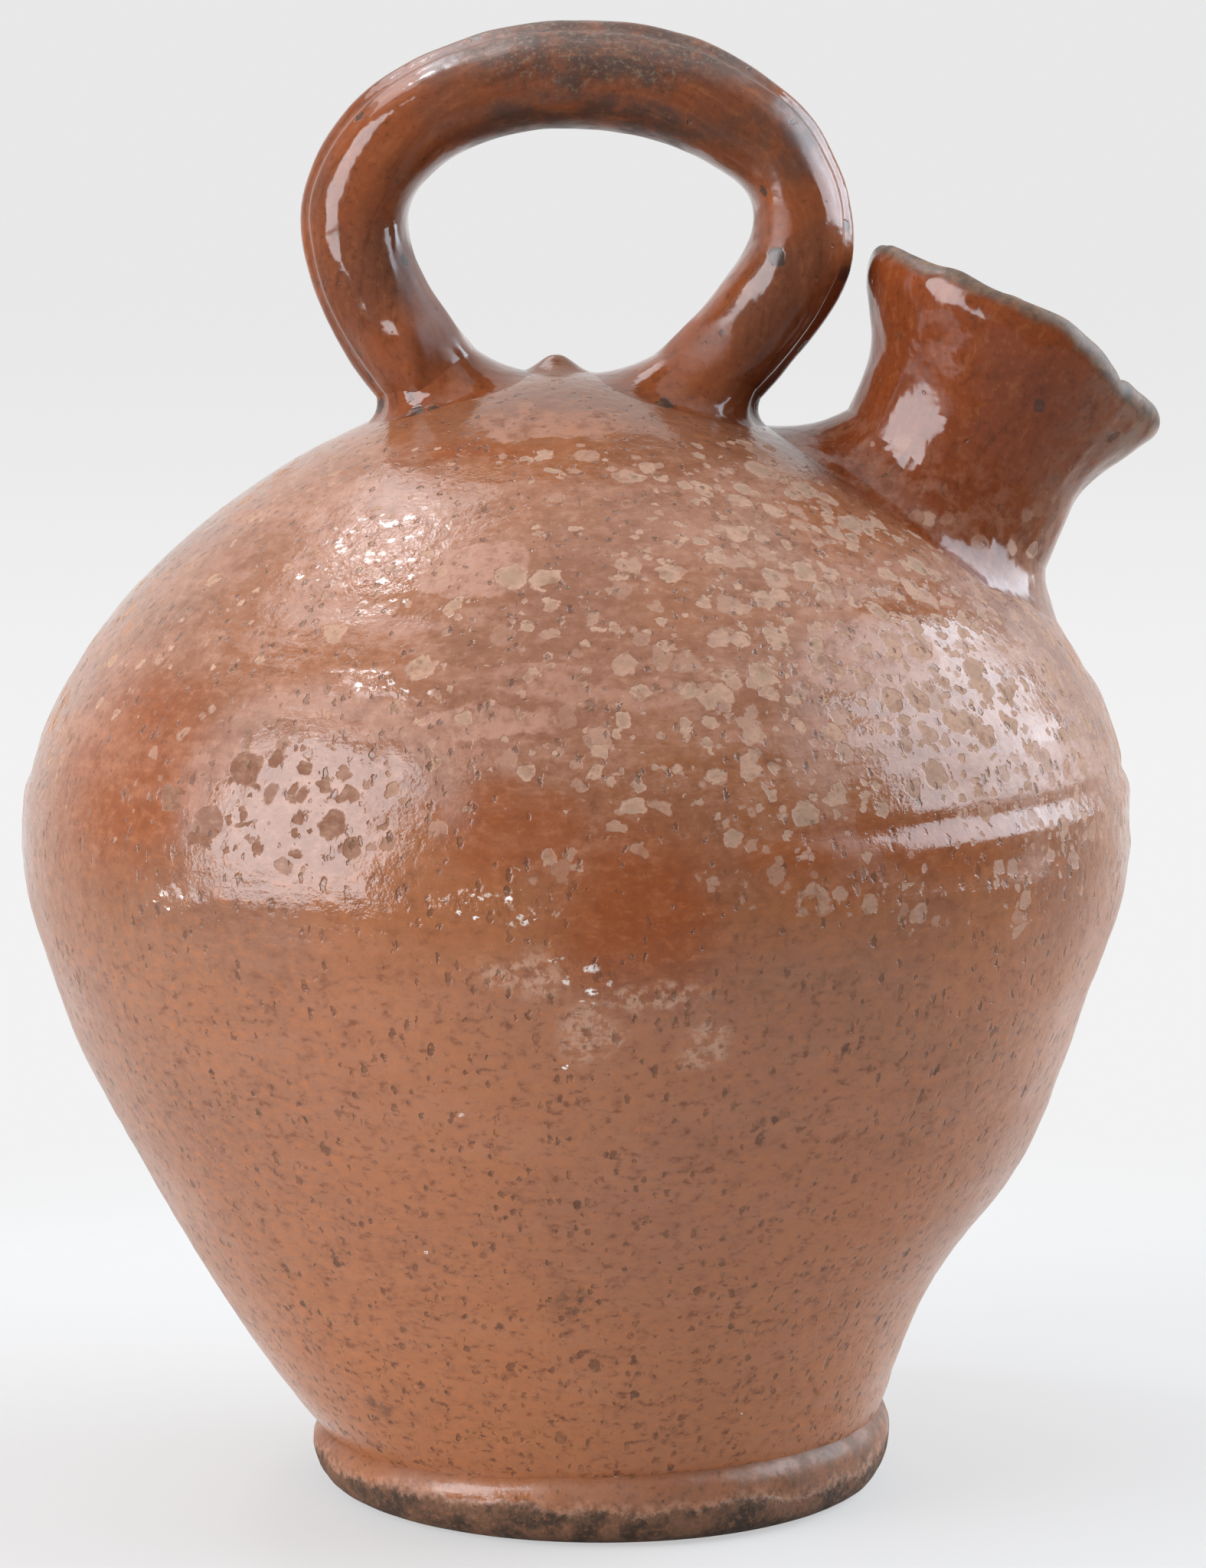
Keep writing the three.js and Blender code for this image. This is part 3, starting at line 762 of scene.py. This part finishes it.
# Places on the body, each by its middle and its reach
GLAZE_LINE = 0.15  # height where the thick glaze ends, in metres
RUBBED_AND_REFLECTING_PATCHES = [  # where the glaze is rubbed dull and painted pale, partly as a painted reflection
    ((-12, -41, 243.5), (19, 14, 4)),
    ((-27, -88, 216), (13, 20, 7)),
    ((-24, -116, 187), (15, 20, 4)),
    ((58, -88, 198), (18, 30, 8)),
]
GLITTER_PLACES = [  # where the glaze is blistered and glitters; the white specks painted in these places are painted glints
    ((-48, -79, 219), (19, 30, 14)),
    ((-47, -108, 193), (14, 30, 2.6)),
    ((-89, -86, 147), (10, 40, 3.4)),
    ((-23, -120, 150.5), (14, 40, 4.2)),
    ((-4, -124, 138), (9, 30, 7)),
]
DRIP_AND_DARK_REFLECTION_PLACES = [  # a drip of thick clear glaze, darkened further as a painted dark reflection
    ((8, -124, 150), (26, 40, 27)),
]
DARK_PLACES = [  # where it is cleaner than elsewhere
    ((55, -105, 160), (48, 60, 12)),
    ((-17, -119, 166), (25, 40, 13)),
    ((-98, -72, 172), (34, 50, 34)),
    ((-30, -50, 238.5), (26, 14, 5)),
]
CRUST_PLACES = [  # where the glaze ends in a pale crust
    ((-15, -118, 137), (13, 30, 7)),
    ((-3, -117, 125), (9, 30, 9)),
    ((12, -118, 132), (14, 30, 4)),
    ((22, -116, 121), (7, 30, 9)),
]
HAZY_PLACES = [  # where pale clay shows through
    ((62, -84, 198), (46, 60, 34)),
    ((40, -76, 220), (34, 50, 22)),
]
POLISHED_PLACES = [  # where it still mirrors the windows, up to a ragged edge
    ((-57, -108, 168), (25, 60, 20)),
    ((73, -82, 183), (30, 60, 34)),
]
JOINT_PLACES = [  # round the roots of the spout and of the handle
    ((72, 0, 234), (52, 48, 30)),
    ((-38, 0, 262), (26, 33, 22)),
    ((24, 0, 262), (26, 30, 20)),
]
SMOOTH_TOP = ((-8, -15, 256), (78, 61, 31))  # where nothing has flaked off
BROWN_FLAKES = ((-70, -98, 166), (42, 60, 26))  # where the flakes are brown and crowded

# Places on the handle and on the foot
SMOKED_AND_DARK_PLACES = [
    ((0, -6, 322), (52, 26, 13)),
    # darker along the underside of the crown
    ((0, -8, 306), (42, 26, 9)),
]
SMOKED_BEND = ((44, -16, 306), (14, 16, 16))
DUSTY_TOP = ((-2, -8, 324), (50, 26, 14))
DULL_PLACES = [  # where the handle's glaze has lost its shine
    ((38, -14, 285), (6, 18, 7)),
    ((21, -15, 259), (11, 18, 8)),
    ((-38, -10, 270), (10, 18, 22)),
]
SHINING_FOOT = ((-26, -60, 12), (13, 30, 8))


def placed(g, ragged, places, edge):
    """1 in any of the places, with their edges as ragged as the coordinates given."""
    return g.either(*[g.near(ragged, middle, reach, edge) for middle, reach in places])


def deep_tone(g):
    """The darker glaze of the handle and the spout."""
    return g.mixed(g.between(g.noise(24, 4), 0.38, 0.64), DEEP_GLAZE, DEEP_RED_GLAZE)


def body_glaze():
    """Thick glaze above, flaked and rubbed, and a thinner, pitted skin of it below."""
    g = Graph("worn_glaze")
    place = g.add("ShaderNodeSeparateXYZ", {0: g.place})
    x, z = place.outputs[0], place.outputs[2]
    ragged = g.shaken(3.2, 4.2)
    gritty = g.shaken(1.3, 1.9)
    torn = g.shaken(16, 14)
    streaky = g.stretched(0.22, 0.22, 1.0)
    grain = g.noise(1.7, 4, 0.65, g.stretched(0.6, 0.6, 1.0))
    mottle = g.noise(4.5, 5, 0.7)
    to_right = g.between(x, -0.05, 0.055)
    ragged_z = g.plus(z, g.between(g.noise(22, 3), 0.3, 0.7, -0.008, 0.008))
    upper = g.between(ragged_z, GLAZE_LINE, GLAZE_LINE + 0.016)
    flaky = g.between(g.plus(ragged_z, g.times(to_right, 0.012)), GLAZE_LINE, GLAZE_LINE + 0.016)
    lower = g.between(z, GLAZE_LINE, GLAZE_LINE - 0.03)

    colour = g.mixed(g.between(g.noise(48, 4), 0.4, 0.62), ORANGE_GLAZE, RED_GLAZE)
    # Thinner, drier glaze below; its paleness is partly a painted sheen.
    colour = g.mixed(g.times(lower, 0.3), colour, DRY_GLAZE_AND_SHEEN)
    colour = g.mixed(g.between(x, -0.045, -0.105, 0.0, 0.4), colour, DUSTY_GLAZE)
    colour = g.mixed(g.between(z, 0.1, 0.02, 0.0, 0.5), colour, WARM_GLAZE)
    dark = placed(g, torn, DARK_PLACES, 0.7)
    # Thick clean glaze; the drip place is darkened further as a painted dark reflection.
    clear = g.either(placed(g, torn, DRIP_AND_DARK_REFLECTION_PLACES, 0.7), g.times(0.75, dark))
    colour = g.mixed(g.times(clear, 0.85), colour, CLEAR_GLAZE_AND_DARK_REFLECTION)
    joint = placed(g, g.shaken(8, 7), JOINT_PLACES, 0.35)
    colour = g.mixed(joint, colour, deep_tone(g))
    top = g.near(g.shaken(8, 7), *SMOOTH_TOP, 0.3)
    bare = g.either(g.times(clear, 0.9), joint, top)

    haze = placed(g, torn, HAZY_PLACES, 0.7)
    colour = g.mixed(g.times(haze, g.between(mottle, 0.44, 0.62, 0.0, 0.22)), colour, WORN_CLAY)
    dusty = g.between(g.noise(9, 6, 0.7, streaky), 0.45, 0.64)
    dusty = g.without(g.times(dusty, g.between(mottle, 0.35, 0.6, 0.5, 1.0)), bare)
    colour = g.mixed(g.times(dusty, g.between(upper, 0.0, 1.0, 0.15, 0.45)), colour, PALE_GLAZE)
    rubbed_and_painted_reflection = g.between(g.noise(30, 6, 0.6, streaky), 0.6, 0.63)
    rubbed_and_painted_reflection = g.without(g.times(rubbed_and_painted_reflection, upper, 0.7), bare)
    crumbs = g.between(g.noise(2.2, 4, 0.65), 0.42, 0.56)
    crust = g.times(placed(g, g.shaken(8, 11), CRUST_PLACES, 0.6), crumbs)
    colour = g.mixed(g.times(crust, 0.75), colour, WORN_CLAY)
    # Pale rubbed glaze; in the listed patches the paleness is partly a painted reflection.
    rubbed_and_painted_reflection = g.either(rubbed_and_painted_reflection, placed(g, g.shaken(9, 12), RUBBED_AND_REFLECTING_PATCHES, 0.12))
    colour = g.mixed(g.times(rubbed_and_painted_reflection, g.between(mottle, 0.38, 0.56, 0.15, 0.65)), colour, PALE_GLAZE)

    crowd = g.near(torn, *BROWN_FLAKES, 0.6)
    share = g.plus(g.times(to_right, 0.6), g.times(haze, 0.4), g.times(crowd, 0.6), 0.2)
    share = g.without(g.times(share, flaky), bare)
    flakes = g.either(
        g.spots(gritty, 2.6, 1.0, g.times(share, 0.6), 0.3),
        g.spots(ragged, 4.6, 2.0, share, 0.12),
        g.times(to_right, g.spots(ragged, 6.2, 2.9, g.times(share, 0.8), 0.12)),
        g.spots(ragged, 9, 3.8, g.times(share, 0.85), 0.1),
    )
    flakes = g.math("MINIMUM", g.times(flakes, 1.25), 1.0)
    flakes = g.times(flakes, g.between(z, GLAZE_LINE, GLAZE_LINE + 0.02, 0.6, 1.0))
    cores = g.either(g.spots(ragged, 4.6, 1.3, share, 0.5), g.spots(ragged, 9, 2.7, share, 0.4))
    tone = g.mixed(g.times(cores, 0.75), WORN_CLAY, FLAKE_CORE)
    tone = g.mixed(crowd, tone, BROWN_CLAY)
    tone = g.mixed(g.between(grain, 0.44, 0.62, 0.0, 0.45), tone, GREY_CLAY)
    colour = g.mixed(g.times(flakes, g.between(mottle, 0.36, 0.5, 0.7, 1.0)), colour, tone)

    drawn = g.vector("MULTIPLY", gritty, (1.0, 1.0, 0.45))
    specks = g.spots(drawn, 2.0, 0.65, g.between(z, 0.1, 0.03, 0.55, 0.95), 0.35)
    pits = g.either(g.spots(drawn, 4.2, 0.9, 0.5, 0.3), g.spots(drawn, 8, 1.3, 0.4, 0.25))
    holes = g.either(g.times(specks, 0.8), g.times(pits, g.between(lower, 0.0, 1.0, 0.5, 1.0)))
    colour = g.mixed(g.times(holes, 0.8), colour, PIT_DIRT)
    smudges = g.times(g.spots(g.shaken(6, 9), 34, 5, 0.5, 0.5), lower, g.between(mottle, 0.4, 0.55))
    colour = g.mixed(g.times(smudges, 0.6), colour, SMOKE)
    light = g.mixed(g.without(upper, bare), LIGHT_GLAZE, PALE_GLAZE)
    colour = g.mixed(g.between(mottle, 0.5, 0.7, 0.0, 0.3), colour, light)
    colour = g.mixed(g.between(mottle, 0.48, 0.3, 0.0, 0.35), colour, DEEP_RED_GLAZE)
    coarse = g.plus(g.between(lower, 0.0, 1.0, 0.45, 0.8), g.between(z, 0.08, 0.03, 0.0, 0.2))
    colour = g.mixed(g.times(coarse, g.between(grain, 0.5, 0.7)), colour, light)
    colour = g.mixed(g.times(coarse, g.between(grain, 0.48, 0.27)), colour, DEEP_RED_GLAZE)
    # White specks: real lime grains in the lower glaze, and in the glitter places painted glints standing
    # in for light caught by the blisters.
    glitter = placed(g, g.shaken(9, 10), GLITTER_PLACES, 0.6)
    level = g.vector("MULTIPLY", gritty, (0.5, 0.5, 1.0))
    lime_and_painted_glints = g.either(
        g.spots(level, 1.5, 0.65, g.times(glitter, 0.7), 0.25),
        g.spots(level, 2.8, 1.1, g.times(glitter, 0.6), 0.2),
        g.spots(gritty, 7, 0.6, g.times(lower, 0.1)),
    )
    lime_and_painted_glints = g.times(lime_and_painted_glints, g.between(g.noise(1.1, 3), 0.4, 0.5))
    colour = g.mixed(lime_and_painted_glints, colour, LIME_AND_GLINT_WHITE)

    gloss = g.between(g.noise(20, 4), 0.35, 0.65, 0.1, 0.18)
    satin = g.between(z, GLAZE_LINE, GLAZE_LINE - 0.015, 0.0, 0.16)
    polished = placed(g, g.shaken(6, 11), POLISHED_PLACES, 0.08)
    wide = [(middle, tuple(1.5 * r for r in reach)) for middle, reach in POLISHED_PLACES]
    worn = g.without(placed(g, g.place, wide, 0.3), polished)
    matte = g.either(
        g.times(flakes, g.between(to_right, 0.0, 1.0, 1.0, 0.78)),
        g.times(rubbed_and_painted_reflection, 0.3),
        g.times(dusty, upper, 0.15),
        g.times(worn, upper, 0.3),
    )
    roughness = g.without(g.plus(gloss, satin, matte), g.times(glitter, 0.5))

    lines = g.noise(1.8, 3, 0.6, g.stretched(0.07, 0.07, 1.0))
    height = g.plus(g.times(g.noise(5.5, 4, 0.6), 0.28), g.times(lines, 0.05))
    height = g.plus(height, g.times(grain, 0.06), g.times(glitter, g.noise(2.8, 4, 0.6), 0.6))
    height = g.math("SUBTRACT", height, g.plus(g.times(flakes, 0.13), g.times(holes, 0.25)))
    return g.shade(colour, roughness, height)


def along_strap(g):
    """Places by the way round the handle, across it and out of it, so that streaks follow its bend."""
    apart = g.vector("SUBTRACT", g.place, (HANDLE_MIDDLE_X * MM, 0, LEG_BEND_Z * MM))
    x, y, z = g.add("ShaderNodeSeparateXYZ", {0: apart}).outputs
    round_way = g.times(g.math("ARCTAN2", x, z), HANDLE_HALF_SPAN * MM * 0.16)
    out = g.math("SQRT", g.plus(g.times(x, x), g.times(z, z)))
    return g.add("ShaderNodeCombineXYZ", {0: round_way, 1: y, 2: out}).outputs[0]


def smoked_glaze():
    """Deep glaze on the handle, smoked and dusty on top, and darker along the underside of the crown."""
    g = Graph("smoked_glaze")
    ragged = g.shaken(4, 3)
    torn = g.shaken(14, 14)
    smoke = g.either(placed(g, torn, SMOKED_AND_DARK_PLACES, 0.5), g.times(0.7, g.near(torn, *SMOKED_BEND, 0.6)))
    dull = g.either(g.times(smoke, 0.7), placed(g, g.shaken(5, 5), DULL_PLACES, 0.4))
    strap = along_strap(g)
    sooty = g.times(smoke, g.between(g.noise(6, 6, 0.75), 0.36, 0.56, 0.3, 0.85))
    spots = g.spots(g.shaken(2.5, 3.2), 8, 2.3, 0.6)
    colour = g.mixed(g.either(sooty, g.times(spots, 0.9)), deep_tone(g), SMOKE)
    dust = g.times(g.near(torn, *DUSTY_TOP, 0.5), g.between(g.noise(1.2, 4, 0.7), 0.5, 0.66, 0.0, 0.6))
    colour = g.mixed(dust, colour, GREY_CLAY)
    matte = g.either(dull, sooty, g.times(spots, 0.25))
    return worn_surface(g, ragged, strap, colour, matte, spots)


def spout_glaze():
    """Clear deep glaze on the spout, with a dry lip, a bare rim and flakes round the root."""
    g = Graph("spout_glaze")
    ragged = g.shaken(4, 3)
    spots = g.spots(ragged, 10, 1.8, 0.35)
    colour = g.mixed(0.6, deep_tone(g), SPOUT_GLAZE)
    colour = g.mixed(g.times(spots, 0.7), colour, SMOKE)
    apart = g.vector("SUBTRACT", g.shaken(5, 4), (SPOUT_X * MM, 0, SPOUT_Z * MM))
    forward = g.vector("DOT_PRODUCT", apart, tuple(SPOUT_FORWARD))
    up = g.vector("DOT_PRODUCT", apart, tuple(SPOUT_UP))
    lip = g.between(forward, 0.008, 0.032)
    dry = g.times(lip, g.between(g.noise(6, 5, 0.7), 0.38, 0.6, 0.2, 0.7))
    colour = g.mixed(dry, colour, GREY_CLAY)
    dirt = g.spots(ragged, 6, 1.5, g.times(lip, 0.6))
    colour = g.mixed(g.times(dirt, 0.75), colour, SMOKE)
    rim = g.between(forward, 0.0, 0.038, SPOUT_LENGTH * MM, (SPOUT_LENGTH - LIP_DROOP) * MM)
    bare = g.between(g.math("SUBTRACT", rim, up), 0.0042, 0.0012)
    rim_clay = g.mixed(g.between(g.noise(4, 5, 0.7), 0.4, 0.6), RIM_CLAY, RIM_DIRT)
    colour = g.mixed(bare, colour, rim_clay)
    pale = g.times(g.between(up, 0.024, 0.006), g.between(g.noise(5, 5, 0.7), 0.42, 0.62, 0.0, 0.35))
    colour = g.mixed(pale, colour, PALE_GLAZE)
    flakes = g.times(g.spots(ragged, 6, 2.2, 0.5), g.between(up, 0.018, 0.008))
    colour = g.mixed(g.times(flakes, 0.7), colour, WORN_CLAY)
    across = g.add("ShaderNodeSeparateXYZ", {0: apart}).outputs[1]
    down = g.add("ShaderNodeCombineXYZ", {0: forward, 1: across, 2: g.times(up, 0.25)}).outputs[0]
    matte = g.either(bare, g.times(spots, 0.3), flakes, g.times(dry, 0.5))
    return worn_surface(g, ragged, down, colour, matte, g.either(spots, dirt))


def worn_surface(g, ragged, drawn, colour, matte, spots):
    """Pits, streaks along the drawn clay, fine grain and gloss shared by the handle and the spout."""
    pits = g.spots(ragged, 4, 0.55, 0.4)
    colour = g.mixed(g.times(pits, 0.7), colour, PIT_DIRT)
    streaks = g.noise(2.6, 5, 0.65, drawn)
    colour = g.mixed(g.between(streaks, 0.52, 0.72, 0.0, 0.28), colour, WARM_GLAZE)
    colour = g.mixed(g.between(streaks, 0.48, 0.3, 0.0, 0.42), colour, BURNT_GLAZE)
    grain = g.noise(1.6, 4, 0.65)
    colour = g.mixed(g.between(grain, 0.52, 0.75, 0.0, 0.25), colour, WARM_GLAZE)
    colour = g.mixed(g.between(grain, 0.47, 0.25, 0.0, 0.55), colour, BURNT_GLAZE)
    roughness = g.plus(g.between(g.noise(12, 4), 0.35, 0.7, 0.08, 0.16), g.times(matte, 0.4))
    height = g.plus(g.times(g.noise(7, 2), 0.35), g.times(grain, 0.015), g.times(streaks, 0.02))
    height = g.math("SUBTRACT", height, g.times(g.either(pits, g.times(spots, 0.3)), 0.18))
    return g.shade(colour, roughness, height)


def foot_clay():
    """Glaze that runs out half way down the roll, over bare and dirty clay."""
    g = Graph("foot_clay")
    place = g.add("ShaderNodeSeparateXYZ", {0: g.shaken(13, 9)})
    x, z = place.outputs[0], place.outputs[2]
    bare = g.between(z, 0.0098, 0.0078)
    worn = g.between(x, 0.0, 0.05)
    grain = g.noise(1.6, 4, 0.65)
    glaze = g.mixed(g.between(g.noise(30, 4), 0.4, 0.62), ORANGE_GLAZE, RED_GLAZE)
    glaze = g.mixed(g.times(worn, g.between(g.noise(7, 5, 0.7), 0.36, 0.6)), glaze, BARE_CLAY)
    clay = g.mixed(g.between(g.noise(9, 6, 0.7), 0.4, 0.6), BARE_CLAY, CLAY_DIRT)
    clay = g.mixed(g.between(g.noise(4, 5, 0.7), 0.56, 0.7, 0.0, 0.2), clay, GREY_CLAY)
    colour = g.mixed(bare, glaze, clay)
    edge = g.times(g.between(z, 0.0115, 0.0098), g.between(z, 0.0072, 0.0086))
    crust = g.times(edge, g.between(grain, 0.44, 0.6))
    colour = g.mixed(g.times(crust, 0.3), colour, WORN_CLAY)
    colour = g.mixed(g.between(grain, 0.5, 0.72, 0.0, 0.35), colour, LIGHT_GLAZE)
    colour = g.mixed(g.between(grain, 0.47, 0.25, 0.0, 0.65), colour, CLAY_DIRT)
    pits = g.spots(g.shaken(4, 3), 4, 0.6, 0.4)
    colour = g.mixed(g.times(pits, 0.7), colour, PIT_DIRT)
    shining = g.near(g.shaken(4, 4), *SHINING_FOOT, 0.3)
    dull = g.without(g.between(g.noise(14, 4), 0.4, 0.6, 0.35, 0.6), g.times(shining, 0.7))
    roughness = g.plus(g.without(dull, bare), g.times(bare, 0.85))
    height = g.times(g.noise(2.2, 5, 0.65), g.between(bare, 0.0, 1.0, 0.15, 0.7))
    height = g.math("SUBTRACT", height, g.times(pits, 0.25))
    return g.shade(colour, roughness, height)


# The studio

CLOTH = (0.79, 0.77, 0.74, 1)
SEEN_CLOTH = (0.56, 0.548, 0.538, 1)  # as the camera sees it
FLOOR_RADIUS = 0.6
FADE_STARTS = (0.36, 0.1)  # distances from the middle, for the light and for the camera
FADE_ENDS = (0.6, 0.42)
SEEN_FADE = 0.55  # the least fading for the camera, and for mirrored rays
MIRRORED_FADE = 0.85
BACKDROP_HIGH = 0.81
BACKDROP_LOW = 0.89
ROOM = 0.17
BACKDROP_GLOW = 1.0
CEILING_GLOW = 0.95
WINDOW_COLOUR = (0.96, 1.0, 1.05)
SKY_COLOUR = (0.87, 1.0, 1.13)
LIGHTS = [  # name, azimuth, elevation, distance, width, height, radiance, colour
    ("left_window", -58, 18, 1.6, 1.12, 1.5, 7.3, WINDOW_COLOUR),
    ("right_window", 99, 26, 1.8, 1.9, 1.5, 5.7, SKY_COLOUR),
    ("skylight", -128, 57, 1.9, 1.3, 0.8, 2.6, WINDOW_COLOUR),
    ("lamp", -121, 61, 1.8, 0.2, 0.2, 34.0, WINDOW_COLOUR),
]
LIT_PLACE = (0, 0, 0.17)  # the middle of the jug, which the lights face


def add_floor():
    """A pale cloth that fades out into the pale surroundings, sooner for the camera and mirrored rays."""
    bpy.ops.mesh.primitive_circle_add(vertices=128, radius=FLOOR_RADIUS, fill_type="NGON")
    floor = bpy.context.object
    floor.name = "floor"
    g = Graph("pale_cloth")
    path = g.add("ShaderNodeLightPath").outputs
    seen, mirrored = path["Is Camera Ray"], path["Is Glossy Ray"]
    starts, ends = g.between(seen, 0, 1, *FADE_STARTS), g.between(seen, 0, 1, *FADE_ENDS)
    fade = g.between(g.vector("LENGTH", g.place), starts, ends)
    fade = g.either(fade, g.times(seen, SEEN_FADE), g.times(mirrored, MIRRORED_FADE))
    cloth = g.add("ShaderNodeBsdfDiffuse", {"Color": g.mixed(seen, CLOTH, SEEN_CLOTH)})
    clear = g.add("ShaderNodeBsdfTransparent")
    mix = g.add("ShaderNodeMixShader", {0: fade, 1: cloth.outputs[0], 2: clear.outputs[0]})
    g.add("ShaderNodeOutputMaterial", {"Surface": mix.outputs[0]})
    floor.data.materials.append(g.material)


def add_world():
    """A dim room in front, a pale backdrop behind and a lit ceiling. The camera sees only a plain pale
    ground, a little brighter low down."""
    world = bpy.data.worlds.new("studio")
    bpy.context.scene.world = world
    g = Graph(world=world)
    y, z = g.add("ShaderNodeSeparateXYZ", {0: g.place}).outputs[1:]
    backdrop = g.between(y, 0.2, 0.9, ROOM, ROOM + BACKDROP_GLOW)
    ceiling = g.between(z, 0.6, 0.95, 0, CEILING_GLOW)
    room = g.add("ShaderNodeBackground", {"Strength": g.plus(backdrop, ceiling)})
    pale = g.between(z, -0.03, -0.13, BACKDROP_HIGH, BACKDROP_LOW)
    ground = g.add("ShaderNodeBackground", {"Color": (1, 1, 1, 1), "Strength": pale})
    seen = g.add("ShaderNodeLightPath").outputs["Is Camera Ray"]
    mix = g.add("ShaderNodeMixShader", {0: seen, 1: room.outputs[0], 2: ground.outputs[0]})
    g.add("ShaderNodeOutputWorld", {"Surface": mix.outputs[0]})


def add_light(name, azimuth, elevation, distance, width, height, radiance, colour):
    """A soft window-like light that faces the jug. Azimuth 0 is in front, 90 on the spout's side."""
    data = bpy.data.lights.new(name, "AREA")
    data.shape = "RECTANGLE"
    data.size, data.size_y = width, height
    data.energy = radiance * math.pi * width * height
    data.color = colour
    light = bpy.data.objects.new(name, data)
    bpy.context.scene.collection.objects.link(light)
    a, e = math.radians(azimuth), math.radians(elevation)
    towards = Vector((math.sin(a) * math.cos(e), -math.cos(a) * math.cos(e), math.sin(e)))
    light.location = Vector(LIT_PLACE) + towards * distance
    light.rotation_mode = "QUATERNION"
    light.rotation_quaternion = towards.to_track_quat("Z", "Y")
    light.visible_camera = False


def add_camera():
    data = bpy.data.cameras.new("camera")
    data.sensor_width = CAMERA_SENSOR
    data.lens = CAMERA_LENS
    camera = bpy.data.objects.new("camera", data)
    bpy.context.scene.collection.objects.link(camera)
    camera.location = CAMERA_PLACE
    camera.rotation_euler = (math.pi / 2 - CAMERA_PITCH, 0, 0)
    bpy.context.scene.camera = camera


def main():
    glaze = body_glaze()
    smoked = smoked_glaze()
    warm = spout_glaze()
    add_piece("body", body(), glaze, "glaze", "lower_body", "upper_body")
    add_piece("button", closing_button(), glaze, "glaze", "closing_button")
    add_piece("foot", foot_ring(), foot_clay(), "bare_clay", "foot_ring")
    add_piece("strap_handle", handle(), smoked, "smoked_glaze", "handle")
    add_piece("luting_left", handle_luting(-1), smoked, "smoked_glaze", "handle_luting_left")
    add_piece("luting_right", handle_luting(1), smoked, "smoked_glaze", "handle_luting_right")
    add_piece("trumpet_spout", spout(), warm, "spout_glaze", "spout")
    add_piece("luting_spout", spout_luting(), warm, "spout_glaze", "spout_luting")
    add_floor()
    add_world()
    for light in LIGHTS:
        add_light(*light)
    add_camera()
    bpy.context.scene.view_settings.view_transform = "Standard"


main()
